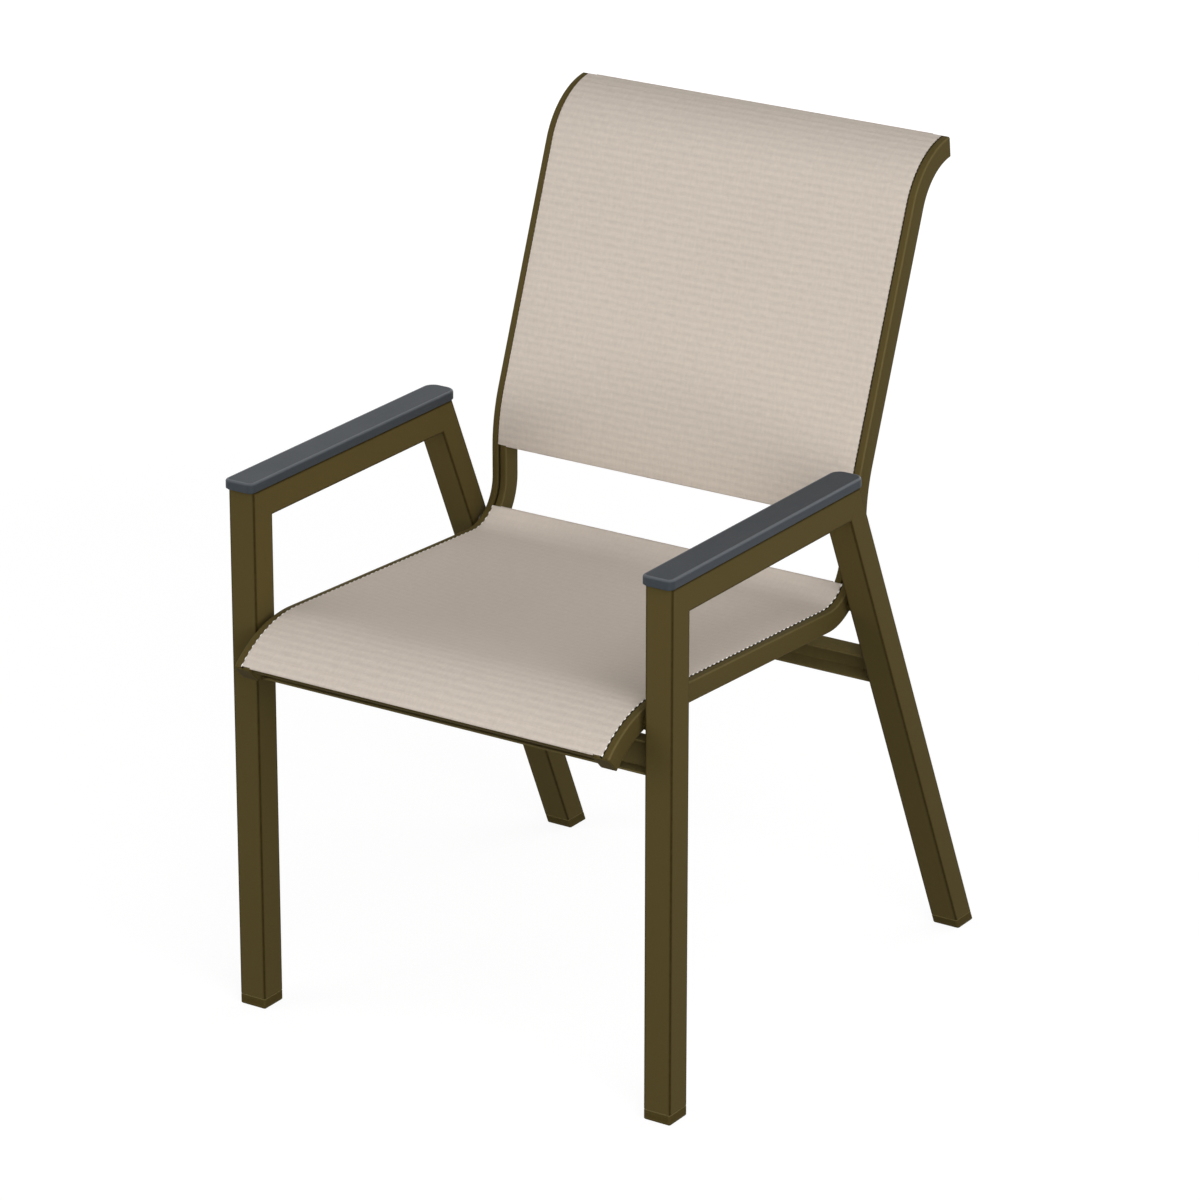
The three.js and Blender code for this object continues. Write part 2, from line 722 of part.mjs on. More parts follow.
// Threaded insert in the leg's inner wall, spacer, and the bolt that passes rail and spacer into it.
function addRailMount(sideName, side, place, bolt) {
  const flangeX = legInnerX - seatGap - insertFlangeThickness;
  const insertEnd = legInnerX + insertLength;
  const bore = boltRadius + seatGap;
  const insert = [
    [bore, flangeX], [insertFlangeRadius, flangeX], [insertFlangeRadius, legInnerX - seatGap],
    [insertRadius, legInnerX - seatGap], [insertRadius, insertEnd], [bore, insertEnd], [bore, flangeX],
  ];
  const [spacerFrom, spacerTo] = [railOuterX + seatGap, flangeX - seatGap];
  const spacer = [
    [bore, spacerFrom], [spacerRadius, spacerFrom],
    [spacerRadius, spacerTo], [bore, spacerTo], [bore, spacerFrom],
  ];
  const seat = railInnerX - seatGap;
  const boltEnd = insertEnd - boltEndShort;
  const dome = boltHeadRadius * Math.SQRT1_2;
  const boltProfile = [
    [0, seat - boltHeadHeight], [dome, seat - boltHeadHeight], [boltHeadRadius, seat - boltHeadHeight / 2],
    [boltHeadRadius, seat], [boltRadius, seat], [boltRadius, boltEnd], [0, boltEnd],
  ];
  const mount = [
    ['leg_insert', 'steel', insert],
    ['rail_spacer', 'plastic', spacer],
    ['rail_bolt', 'steel', boltProfile],
  ];
  for (const [kind, finish, profile] of mount) {
    const piece = addPiece(`${kind}_${sideName}_${place}`, finish, turnedAlongX(profile, 16));
    if (side < 0) piece.rotation.z = Math.PI;
    piece.position.set(0, bolt.y, bolt.z);
  }
}

for (const [sideName, side] of sides) {
  addLeg(`front_leg_${sideName}`, side, frontLeg, mitrePlane(...frontCorners, -1), frontBolt);
  addArmRail(`arm_rail_${sideName}`, side);
  addLeg(`rear_leg_${sideName}`, side, rearLeg, mitrePlane(...rearCorners, 1), rearBolt);
  addGlide(`front_glide_${sideName}`, side, frontLeg);
  addGlide(`rear_glide_${sideName}`, side, rearLeg);
  addArmCap(`arm_cap_${sideName}`, side);
  addCapScrews(sideName, side);
  addSlingRail(`sling_rail_${sideName}`, side);
  addRailPlug(`rail_plug_${sideName}_front`, side, false);
  addRailPlug(`rail_plug_${sideName}_top`, side, true);
  addSpline(`seat_spline_${sideName}`, side, ...seatSpan);
  addSpline(`back_spline_${sideName}`, side, ...backSpan);
  for (const [place, bolt] of bolts) addRailMount(sideName, side, place, bolt);
}
addCrossbar('front_crossbar', frontLeg, frontCrossbarLevel);
addCrossbar('rear_crossbar', rearLeg, rearCrossbarLevel);
addSling('seat_sling', ...seatSpan, seatSag);
addSling('back_sling', ...backSpan, backSag);
for (const [name, station] of bars) addSpreaderBar(name, station);

// The chair stands on Z = 0, centred over the origin.
const bounds = new THREE.Box3().setFromObject(chair);
const middle = bounds.getCenter(new THREE.Vector3());
chair.position.set(-middle.x, -middle.y, -bounds.min.z);

export default chair;
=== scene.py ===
import functools
import json
import math

import bmesh
import bpy
import numpy as np
from mathutils import Euler, Matrix, Vector

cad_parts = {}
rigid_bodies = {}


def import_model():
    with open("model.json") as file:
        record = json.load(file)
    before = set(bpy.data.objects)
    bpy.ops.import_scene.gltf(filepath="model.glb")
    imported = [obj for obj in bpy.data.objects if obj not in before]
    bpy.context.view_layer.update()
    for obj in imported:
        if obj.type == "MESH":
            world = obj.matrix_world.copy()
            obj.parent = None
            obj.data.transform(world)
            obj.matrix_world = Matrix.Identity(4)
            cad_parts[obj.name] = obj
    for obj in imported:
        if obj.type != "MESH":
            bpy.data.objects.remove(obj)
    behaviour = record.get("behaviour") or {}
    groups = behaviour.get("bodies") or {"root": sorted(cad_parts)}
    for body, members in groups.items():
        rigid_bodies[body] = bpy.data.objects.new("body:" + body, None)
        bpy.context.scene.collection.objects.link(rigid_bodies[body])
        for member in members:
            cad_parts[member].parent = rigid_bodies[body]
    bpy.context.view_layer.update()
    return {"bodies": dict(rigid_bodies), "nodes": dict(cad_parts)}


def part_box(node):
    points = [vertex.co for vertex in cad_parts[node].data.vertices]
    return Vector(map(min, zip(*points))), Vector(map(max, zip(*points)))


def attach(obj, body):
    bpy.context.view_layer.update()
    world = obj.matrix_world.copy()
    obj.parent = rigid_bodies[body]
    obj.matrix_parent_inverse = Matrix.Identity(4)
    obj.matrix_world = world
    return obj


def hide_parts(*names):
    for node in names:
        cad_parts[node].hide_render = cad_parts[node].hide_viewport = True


bl_info = {
    "name": "Sling patio chair",
    "version": (1, 0, 0),
    "blender": (4, 5, 0),
    "location": "3D View > Sidebar > Patio Chair",
    "description": "Dresses the chair's frame with tubes, rails, slings, seams and finishes",
    "category": "Object",
}

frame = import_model()
BODY = next(iter(frame["bodies"]))
MM = 0.001
SIDES = (("left", 1), ("right", -1))
QUARTER = math.pi / 2
GAP = 0.3 * MM  # From a moulded piece or a bolt's head to the metal beside it
HAIR = 0.1 * MM  # From one metal piece to the next
TIP = 1e-6  # Radius of a turned piece where it closes to a point
WHITE = (1, 1, 1, 1)

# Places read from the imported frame
(LEG_INNER, LEG_FRONT, GLIDE_TOP), (LEG_OUTER, _, _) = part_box("front_leg_left")
ARM_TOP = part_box("arm_rail_left")[1][2]
RAIL_INNER, RAIL_OUTER = (corner[0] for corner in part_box("sling_rail_left"))
RAIL_X = (RAIL_INNER + RAIL_OUTER) / 2


def number(name, default, description, unit="NONE"):
    texts = {"name": name, "description": description}
    return bpy.props.FloatProperty(default=default, unit=unit, precision=5, **texts)


def length(name, millimetres, description):
    return number(name, millimetres * MM, description, "LENGTH")


def angle(name, degrees, description):
    return number(name, math.radians(degrees), description, "ROTATION")


def tint(name, default, description):
    return bpy.props.FloatVectorProperty(
        name=name, default=default, description=description, subtype="COLOR_GAMMA", size=3, min=0, max=1
    )


class PatioFrameSizes(bpy.types.PropertyGroup):
    """Sizes of the side frames, crossbars and arm caps."""

    tube_corner: length("Tube corner", 2.0, "Outer corner radius of the square tube")
    tube_wall: length("Tube wall", 2.0, "Wall of the square tube")
    leg_depth: length("Front leg depth", 35, "Front leg, front to rear")
    arm_height: length("Arm tube height", 35, "Arm tube, bottom to top")
    rear_depth: length("Rear leg depth", 32, "Rear leg, square to its length")
    rear_reach: length("Rear leg reach", 639, "Rear leg's front face at the floor, behind the front leg's")
    rear_rake: angle("Rear leg rake", 24.2, "Lean of the rear leg")
    bar_height: length("Crossbar height", 40, "Channel crossbar, bottom to top")
    bar_depth: length("Crossbar depth", 18.5, "Channel crossbar, front to rear")
    bar_wall: length("Crossbar wall", 2.5, "Wall of the channel")
    bar_edge: length("Crossbar edge", 0.7, "Radius on the channel's edges")
    front_bar_level: length("Front crossbar level", 428, "Middle of the front crossbar")
    rear_bar_level: length("Rear crossbar level", 381, "Middle of the rear crossbar")
    bead_pitch: length("Weld pitch", 1.5, "Step between the ripples of a weld bead")
    bead_radius: length("Weld radius", 1.5, "Half height of a weld bead")
    cap_edge: length("Arm cap edge", 2.8, "Radius round the arm cap's top edge")
    cap_undercut: length("Arm cap undercut", 2.2, "How far the arm cap's foot stands in from its side")
    cap_foot: length("Arm cap foot", 1.4, "Height of the arm cap's foot")
    cap_front_corner: length("Arm cap front corner", 8, "Plan radius at the front")
    cap_rear_corner: length("Arm cap rear corner", 14, "Plan radius at the rear")
    glide_round: length("Glide rounding", 1.9, "Rounding at the foot of a glide")


class PatioRailSizes(bpy.types.PropertyGroup):
    """Section and line of the sling rails, and the spreader bars between them."""

    depth: length("Rail depth", 25, "Rail, front face to rear face")
    corner: length("Rail corner", 2.0, "Corner radius, inboard and rear")
    outer_corner: length("Rail outer corner", 2.2, "Radius of the outer front corner")
    slot: length("Slot width", 3.6, "Mouth of the spline channel")
    lip: length("Slot lip", 3.0, "Depth of the slot before the channel opens")
    channel: length("Channel radius", 4.6, "Bore that holds the spline")
    setback: length("Seat setback", 49.5, "Start of the level run, behind the front leg's face")
    seat_level: length("Seat level", 486.2, "Height of the rail where the level run starts")
    seat_slope: angle("Seat slope", 2.56, "Fall of the seat to the rear")
    front_drop: angle("Front drop", 44, "Steepest angle at the seat's front")
    front_radius: length("Front radius", 144, "Bend at the seat's front")
    seat_run: length("Seat run", 352.7, "Straight run under the seat")
    bight_radius: length("Bight radius", 52, "Bend between seat and back")
    upright_run: length("Upright run", 33.5, "Straight run over the bend")
    back_radius: length("Back radius", 210, "Bend where the back starts to recline")
    recline: angle("Recline", 20.35, "Lean of the back")
    back_run: length("Back run", 297.6, "Straight run of the back")
    flare_radius: length("Flare radius", 96.6, "Bend at the top")
    flare_angle: angle("Flare angle", 83, "Lean at the rail's top end")
    plug: length("Plug flange", 1.6, "Thickness of a rail's end plug with its gap")
    plug_edge: length("Plug edge", 0.7, "Rounding on an end plug")
    bar_breadth: length("Bar breadth", 20, "Spreader bar along the rail line")
    bar_thickness: length("Bar thickness", 12, "Spreader bar square to the rail line")
    bar_corner: length("Bar corner", 5, "Corner radius of a spreader bar")
    bar_flange: length("Bar plug flange", 2, "Flange of a spreader bar's end plug")
    bar_margin: length("Bar margin", 1.5, "From a sling's end to the bar under it")
    bar_drop: length("Bar drop", 0.6, "From the rail's face down to the bar")


class PatioSlingSizes(bpy.types.PropertyGroup):
    """Cloth, seams and weave of the two slings."""

    thickness: length("Cloth thickness", 0.8, "Thickness of the woven cloth")
    lift: length("Cloth lift", 0.75, "Middle of the cloth over the rail's face")
    edge_place: length("Edge place", 0.75, "Middle of the cloth in the slot, outboard of the slot's middle")
    fold: length("Edge fold", 1.0, "Radius where the cloth turns into the slot")
    tongue: length("Tongue depth", 2.9, "How far the cloth shows inside the slot")
    front_show: length("Bar shows", 1.5, "How far the front spreader bar shows past the seat's cloth")
    seat_bight: length("Seat sling end", 48.4, "How far the seat sling runs up the bend")
    back_lift: length("Back sling start", 40, "Back sling's lower end over the upright's foot")
    seat_sag: length("Seat sag", 11, "Sag of the seat sling before it settles")
    back_sag: length("Back sag", 7, "Sag of the back sling before it settles")
    hem: length("Hem width", 21, "Width of the hem turned under each end")
    seam: length("Seam inset", 17, "Hem stitches, from the sling's end")
    seam_turn: angle("Side seam turn", 34, "Place of the side stitches round the cloth's fold")
    seat_pitch: length("Seat stitch pitch", 8.6, "Step between the stitches beside the seat's rails")
    back_pitch: length("Back stitch pitch", 5.2, "Step between the finer stitches beside the back's rails")
    stitch_share: number("Stitch share", 0.56, "Length of one side stitch for each step")
    stitch_radius: length("Stitch radius", 0.7, "Half thickness of the seat's thread")
    # Painted glow: the seat's thread emits light in its own colour and shows brighter than the cloth.
    thread_glow: number("Thread glow", 0.12, "Brightener in the seat's thread")
    hem_pitch: length("Hem stitch pitch", 3.4, "Step between hem stitches")
    hem_stitch: length("Hem stitch length", 2.7, "Length of one hem stitch")
    hem_radius: length("Hem stitch radius", 0.26, "Half thickness of the hem thread")
    yarn: length("Yarn pitch", 1.3, "Step between yarns")
    warp: length("Warp band pitch", 7.46, "Step between the bands that run along the sling")
    seat_rib: length("Seat rib pitch", 10.9, "Step between the seat sling's cross ribs")
    back_rib: length("Back rib pitch", 9.34, "Step between the back sling's cross ribs")
    flat_from: length("Ribs fade from", 50, "Where the seat's ribs start to fade, from the rail's front end")
    flat_to: length("Ribs fade to", 130, "Where the seat's ribs are faintest, from the rail's front end")


class PatioFinishes(bpy.types.PropertyGroup):
    """Colours as they look on screen."""

    coat: tint("Powder coat", (0.337, 0.290, 0.158), "Olive brown of the frame")
    # Painted shade: a thin dark line laid along the rounded edges of the tubes and spreader bars.
    coat_dark: tint("Coat in creases", (0.205, 0.165, 0.060), "Thin dark line on the tube's edges")
    coat_light: tint("Coat on rounded edges", (0.440, 0.394, 0.248), "Where the coat catches the light")
    cap: tint("Arm cap", (0.190, 0.212, 0.234), "Slate grey arm cap")
    # Painted highlight: this lighter grey is laid along the arm cap's rounded top edge.
    cap_edge: tint("Arm cap edge", (0.400, 0.418, 0.438), "Polished edge of the arm cap")
    plastic: tint("Moulded plastic", (0.285, 0.240, 0.115), "Glides, plugs and spacers")
    cloth: tint("Sling cloth", (0.872, 0.826, 0.777), "Beige yarn")
    cloth_dark: tint("Cloth shade", (0.735, 0.685, 0.640), "Between the yarns")
    thread: tint("Thread", (0.975, 0.965, 0.945), "Sewing thread beside the seat's rails")
    hem_thread: tint("Hem thread", (0.850, 0.803, 0.757), "Thread of back and hems, matched to the cloth")
    slot_shade: tint("Slot shade", (0.165, 0.140, 0.060), "Where the cloth goes down into the slot")
    spline: tint("Spline", (0.140, 0.135, 0.130), "Cord in the rail's channel")
    steel: tint("Steel", (0.700, 0.700, 0.690), "Bolts, screws and leg inserts")


class PatioStage(bpy.types.PropertyGroup):
    """Camera, floor and light."""

    azimuth: angle("Azimuth", 33.382, "Camera's turn round the chair")
    elevation: angle("Elevation", 20.772, "Camera's height angle")
    place: bpy.props.FloatVectorProperty(
        name="Camera", default=(3.30587, -4.73077, 2.75102), subtype="TRANSLATION",
        description="Camera's place, from the floor under the front legs' faces",
    )
    lens: number("Lens", 168.89, "Focal length in millimetres")
    shift_x: number("Shift X", 0.00878, "Lens shift")
    shift_y: number("Shift Y", -0.00149, "Lens shift")
    ambient: number("Ambient", 0.16, "Light that comes from all round")
    floor_tone: number("Floor tone", 0.17, "Floor's own grey, which takes the shadow")
    floor_glow: number("Floor glow", 0.895, "White laid over the floor's grey near the chair")


class PatioChair(bpy.types.PropertyGroup):
    """All settings of the chair."""

    body: bpy.props.PointerProperty(type=PatioFrameSizes, name="Frame")
    rail: bpy.props.PointerProperty(type=PatioRailSizes, name="Rails")
    sling: bpy.props.PointerProperty(type=PatioSlingSizes, name="Slings")
    look: bpy.props.PointerProperty(type=PatioFinishes, name="Finishes")
    stage: bpy.props.PointerProperty(type=PatioStage, name="Stage")


def chair():
    return bpy.context.scene.patio_chair


def fitted(target, **settings):
    for key, value in settings.items():
        setattr(target, key, value)
    return target


# Node trees


def maths(operation, swap=False):
    """A method of Value that adds a Math node; swap puts the other term first."""
    def method(self, *others):
        terms = [*others, self] if swap else [self, *others]
        return self.graph.node("ShaderNodeMath", dict(enumerate(terms)), operation=operation)

    return method


class Value:
    """One socket that takes part in sums, so that a pattern reads as an expression."""

    __add__ = __radd__ = maths("ADD")
    __sub__, __rsub__ = maths("SUBTRACT"), maths("SUBTRACT", swap=True)
    __mul__ = __rmul__ = maths("MULTIPLY")
    __truediv__ = maths("DIVIDE")
    sine, cosine, size = maths("SINE"), maths("COSINE"), maths("ABSOLUTE")
    at_least, at_most = maths("MAXIMUM"), maths("MINIMUM")

    def __init__(self, graph, socket):
        self.graph = graph
        self.socket = socket

    def other(self, output):
        """Another output of the same node."""
        return Value(self.graph, self.socket.node.outputs[output])

    def between(self, low, high):
        """0 below low and 1 above high, smooth in between."""
        inputs = {"Value": self, "From Min": low, "From Max": high}
        return self.graph.node("ShaderNodeMapRange", inputs, interpolation_type="SMOOTHSTEP")


class Graph:
    """A node tree that one method fills."""

    def __init__(self, tree):
        self.tree = tree
        tree.nodes.clear()

    def node(self, kind, inputs=None, output=0, **settings):
        """Adds a node, sets its settings, then the values or links of its sockets, and gives one output."""
        made = fitted(self.tree.nodes.new(kind), **settings)
        for key, value in (inputs or {}).items():
            if isinstance(value, Value):
                self.tree.links.new(value.socket, made.inputs[key])
            else:
                made.inputs[key].default_value = value
        return Value(self, made.outputs[output]) if made.outputs else None

    def seen(self):
        """1 for what the camera, a reflection or a see-through part meets."""
        ray = self.node("ShaderNodeLightPath", output="Is Camera Ray")
        return ray.at_least(ray.other("Is Glossy Ray")).at_least(ray.other("Is Transmission Ray"))


class Finish(Graph):
    """One material and its nodes, with patterns laid over the object or over a UV map."""

    def __init__(self, name, uv_map=None):
        self.material = bpy.data.materials.new(name)
        self.material.use_nodes = True
        super().__init__(self.material.node_tree)
        if uv_map:
            self.place = self.node("ShaderNodeUVMap", uv_map=uv_map)
        else:
            self.place = self.node("ShaderNodeTexCoord", output="Object")

    # The mark of wear and painted light: painted shade lines on tubes, painted highlights on rails,
    # crossbars, caps and plastic edges, painted shade in the slots.
    def wear(self):
        return self.node("ShaderNodeAttribute", output="Fac", attribute_name="wear")

    def noise(self, scale, detail=2.0, roughness=0.5):
        """Noise of that scale; three scales stretch it."""
        place = self.place
        if isinstance(scale, tuple):
            place, scale = self.node("ShaderNodeMapping", {"Vector": place, "Scale": scale}), 1
        inputs = {"Vector": place, "Scale": scale, "Detail": detail, "Roughness": roughness}
        return self.node("ShaderNodeTexNoise", inputs)

    def cells(self, scale):
        return self.node("ShaderNodeTexVoronoi", {"Vector": self.place, "Scale": scale})

    def mix(self, share, first, second):
        return self.node("ShaderNodeMix", {0: share, 6: first, 7: second}, output=2, data_type="RGBA")

    def toned(self, share, base, low, high=1):
        """Goes from a lower to a higher tone of the base colour."""
        return self.mix(share, *(tuple(c * tone for c in base[:3]) + (1,) for tone in (low, high)))

    def surfaced(self, colour, roughness, relief, specular=0.5, metallic=0, glow=(WHITE, 0)):
        """Ends the material; relief is the bump's height, its depth in millimetres and its strength."""
        height, depth, strength = relief
        normal = self.node("ShaderNodeBump", {"Height": height, "Distance": depth * MM, "Strength": strength})
        return self.ended(self.node("ShaderNodeBsdfPrincipled", {
            "Base Color": colour, "Roughness": roughness, "Specular IOR Level": specular,
            "Metallic": metallic, "Normal": normal, "Emission Color": glow[0], "Emission Strength": glow[1],
        }))

    def ended(self, shader):
        self.node("ShaderNodeOutputMaterial", {"Surface": shader})
        return self.material


# Finishes


def powder_coat(name, base, edge, edge_share):
    """Fine-textured powder coat: grain, a slow drift of tone, and painted light along marked edges, broken by
    noise.
    """
    f = Finish(name)
    grain, specks = f.noise(1300, 2, 0.6), f.cells(2300)
    tone = f.toned(f.noise(7, 3) * 0.45 + grain * 0.55, base, 0.90, 1.09)
    rub_and_painted_light = f.wear() * (0.72 + 0.5 * f.noise(160, 3)) * edge_share
    relief = (grain * 0.7 + specks * 0.3, 0.09, 0.55)
    return f.surfaced(f.mix(rub_and_painted_light, tone, edge), 0.56 + 0.16 * grain, relief, specular=0.045)


def moulded_cap(name, base, edge):
    """Arm cap: matt grained top with faint scuffs along it, smoother on the rounded edge, which is painted
    lighter as a highlight.
    """
    f = Finish(name)
    grain, pores, drift, wear = f.noise(1500, 2, 0.55), f.cells(1700), f.noise(14, 4, 0.6), f.wear()
    scuffs = f.noise((420, 16, 420), 4, 0.65).between(0.60, 0.74)
    tone = f.toned(drift * 0.6 + grain * 0.4, base, 0.86, 1.12)
    colour = f.mix(wear * 0.72, f.mix(scuffs * 0.16, tone, edge), edge)
    relief = (grain * 0.6 + pores * 0.4, 0.07, 0.5)
    return f.surfaced(colour, 0.50 + 0.12 * drift - 0.10 * wear, relief, specular=0.22)


def moulded_plastic(name, base, edge):
    """Injection-moulded plastic: faint flow marks, fine grain and paler marked edges that carry a painted
    highlight.
    """
    f = Finish(name)
    grain = f.noise(1800)
    tone = f.toned(f.noise((60, 60, 16), 3), base, 0.86, 1.10)
    colour = f.mix(f.wear() * 0.8, tone, edge)
    return f.surfaced(colour, 0.58 + 0.14 * grain, (grain, 0.05, 0.5), specular=0.04)


def sling_weave(name, light, dark, slot_shade, rib, fades):
    """Plain weave of coated yarn, with soft bands along the sling and cross ribs over them.

    When fades is set, the ribs' strength falls from full to a quarter between two distances along the sling.
    The mark is 1 where the cloth goes down into the rail's slot; there it takes the slot colour, a painted
    shade.
    """
    f = Finish(name, "cloth")
    sizes = chair().sling
    across = f.node("ShaderNodeSeparateXYZ", {"Vector": f.place})
    along = across.other("Y")
    warp, weft = ((way / sizes.yarn * math.pi).sine() for way in (across, along))
    over, under = warp.size() * (0.5 + 0.5 * (warp * weft)), weft.size() * (0.5 - 0.5 * (warp * weft))
    yarns = over.at_least(under).between(0.08, 0.6)
    past_the_end = (9.0, 9.1)
    strength = 1 - 0.76 * along.between(*(sizes.flat_from, sizes.flat_to) if fades else past_the_end)
    ribs = (along / getattr(sizes, rib) * math.tau).cosine() * strength
    bands = (across / sizes.warp * math.tau).cosine()
    dashes, ticks, slubs = f.noise((90, 250, 1)), f.noise((420, 110, 1)), f.noise((40, 900, 1), 3, 0.6)
    shaded = 0.26 + 0.10 * (1 - yarns) + (0.056 + 0.062 * dashes) * ribs + 0.018 * bands
    uneven = 0.44 * (dashes - 0.5) + 0.36 * (ticks - 0.5) + 0.30 * (slubs - 0.5)
    blotch = 0.10 * (f.noise(9, 3) - 0.5)
    woven = f.mix((shaded + uneven * (0.4 + 0.6 * strength) + blotch).at_least(0).at_most(1), light, dark)
    height = 0.14 * yarns - 0.30 * ribs - 0.05 * bands + (0.25 * slubs - 0.35 * dashes) * strength
    # The slot mark turns the cloth to the slot colour, a painted shade.
    colour = f.mix(f.wear(), woven, slot_shade)
    return f.surfaced(colour, 0.76 + 0.10 * slubs, (height, 0.55, 0.6), specular=0.15)


def twisted_thread(name, base, brightened):
    """Bonded sewing thread with a fine twist; the seat's white thread gets a painted glow that lifts it over
    the cloth.
    """
    f = Finish(name)
    twist = f.noise(3600)
    # Painted glow: only the seat's thread emits a little light of its own colour.
    glow = (base, chair().sling.thread_glow if brightened else 0)
    tone = f.toned(twist, base, 0.9)
    return f.surfaced(tone, 0.55 + 0.2 * twist, (twist, 0.06, 0.6), specular=0.35, glow=glow)


def plain_steel(name, base):
    """Stainless fixings: fine turning marks and a little dulling."""
    f = Finish(name)
    dull, marks = f.noise(240, 3), f.noise(3000, 2, 0.6)
    return f.surfaced(f.toned(dull, base, 0.78), 0.26 + 0.2 * dull, (marks, 0.03, 0.4), metallic=1)


def extruded_cord(name, base):
    """Dull extruded plastic with drawn lines."""
    f = Finish(name)
    lines = f.noise((900, 90, 90), 3)
    return f.surfaced(f.toned(lines, base, 1, 1.6), 0.55 + 0.2 * lines, (lines, 0.05, 0.4), specular=0.35)


def studio_floor(name, tone, glow):
    """Grey floor that takes the shadow; to what sees it, it glows and turns plain white farther out."""
    f = Finish(name)
    away = f.node("ShaderNodeVectorMath", {0: f.place}, output=1, operation="LENGTH").between(1.6, 4.0)
    matt = f.node("ShaderNodeBsdfDiffuse", {"Color": f.toned(f.noise(1.5), (tone,) * 3, 0.985)})
    shine = f.mix(away, (glow, glow, glow, 1), WHITE)
    light = f.node("ShaderNodeEmission", {"Color": shine, "Strength": 1.0})
    both = f.node("ShaderNodeAddShader", {0: matt, 1: light})
    return f.ended(f.node("ShaderNodeMixShader", {0: f.seen(), 1: matt, 2: both}))


CLOTH_TONES = ["cloth", "cloth_dark", "slot_shade"]

# Each kind's slot in the record, maker, material name and colours, and what else its maker takes
FINISHES = {
    # The tube coat lays a dark painted shade line along the marked edges; the rail coat lays a painted
    # highlight there.
    "tube": ("coated_frame", powder_coat, "tube_coat", ["coat", "coat_dark"], 0.95),
    "rail": ("coated_frame", powder_coat, "rail_coat", ["coat", "coat_light"], 0.65),
    "cap": ("arm_cap", moulded_cap, "cap_grain", ["cap", "cap_edge"]),
    "plastic": ("foot_plastic", moulded_plastic, "moulded_olive", ["plastic", "coat_light"]),
    "seat_cloth": ("sling_fabric", sling_weave, "seat_weave", CLOTH_TONES, "seat_rib", True),
    "back_cloth": ("sling_fabric", sling_weave, "back_weave", CLOTH_TONES, "back_rib", False),
    "thread": ("sling_fabric", twisted_thread, "seam_thread", ["thread"], True),
    "hem_thread": ("sling_fabric", twisted_thread, "hem_thread", ["hem_thread"], False),
    "steel": ("fixings", plain_steel, "plain_steel", ["steel"]),
    "spline": ("spline", extruded_cord, "drawn_cord", ["spline"]),
}


def linear(colour):
    """A screen colour as the shader wants it."""
    return tuple(c / 12.92 if c <= 0.04045 else ((c + 0.055) / 1.055) ** 2.4 for c in colour) + (1.0,)


@functools.cache
def finish_of(kind):
    """The material of that kind, made on first use from the chosen colours."""
    _, maker, name, colours, *others = FINISHES[kind]
    return maker(name, *(linear(getattr(chair().look, colour)) for colour in colours), *others)


# Mesh building


class Skin:
    """Points and faces of one skin, with a mark of wear and painted light on each point."""

    def __init__(self):
        self.points, self.faces, self.marks = [], [], []

    def bridge(self, first, second):
        for i in range(len(first)):
            j = (i + 1) % len(first)
            self.faces.append((first[i], first[j], second[j], second[i]))

    def tube(self, stations):
        """Joins rings of points, each given with its marks or with one mark for all of them."""
        rings = []
        for points, marks in stations:
            start = len(self.points)
            self.points.extend(tuple(point) for point in points)
            self.marks.extend(marks if isinstance(marks, list) else [marks] * len(points))
            rings.append(range(start, len(self.points)))
        for first, second in zip(rings, rings[1:]):
            self.bridge(first, second)
        return rings


def closed(stations):
    """The skin of a tube that is shut at both ends."""
    skin = Skin()
    rings = skin.tube(stations)
    skin.faces += [tuple(rings[0]), tuple(rings[-1])]
    return skin


def mesh_of(name, points, edges=(), faces=()):
    mesh = bpy.data.meshes.new(name)
    mesh.from_pydata(points, edges, faces)
    return mesh


def marked(mesh, name, values):
    mesh.attributes.new(name, "FLOAT", "POINT").data.foreach_set("value", values)


def unrolled(mesh, places):
    """Gives each point its place on the flat cloth, which the weave follows."""
    layer = mesh.uv_layers.new(name="cloth")
    for loop in mesh.loops:
        layer.data[loop.index].uv = places[loop.vertex_index]


def smooth(mesh, degrees):
    mesh.shade_smooth()
    mesh.set_sharp_from_angle(angle=math.radians(degrees))


def skinned(name, skin, sharp=38, merge=0):
    """The skin as a mesh, its normals turned outward."""
    mesh = mesh_of(name, skin.points, faces=skin.faces)
    marked(mesh, "wear", skin.marks)
    shell = bmesh.new()
    shell.from_mesh(mesh)
    if merge:
        bmesh.ops.remove_doubles(shell, verts=shell.verts, dist=merge)
    bmesh.ops.recalc_face_normals(shell, faces=shell.faces)
    shell.to_mesh(mesh)
    shell.free()
    smooth(mesh, sharp)
    return mesh


def added(name, data):
    """A new object of the scene."""
    made = bpy.data.objects.new(name, data)
    bpy.context.scene.collection.objects.link(made)
    return made


def painted(made, kind):
    made.data.materials.clear()
    made.data.materials.append(finish_of(kind))


def placed(made, kind, *nodes):
    """Finishes an object of the scene, which rides on the chair and stands for those nodes."""
    painted(made, kind)
    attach(made, BODY)
    if nodes:
        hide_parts(*nodes)
    return made


def piece(name, skin, kind, *nodes):
    """Turns a skin into a finished piece of the chair."""
    return placed(added(name, skinned(name, skin)), kind, *nodes)


def box(node):
    """Low corner, high corner and middle of a CAD node."""
    low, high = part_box(node)
    return low, high, [(a + b) / 2 for a, b in zip(low, high)]


def flat(y, z):
    """A point or direction in the side plane."""
    return Vector((0, y, z))


def arc(x, y, radius, start, end, steps):
    """Points on an arc, both ends included."""
    return [(x + radius * math.cos(a), y + radius * math.sin(a)) for a in np.linspace(start, end, steps + 1)]


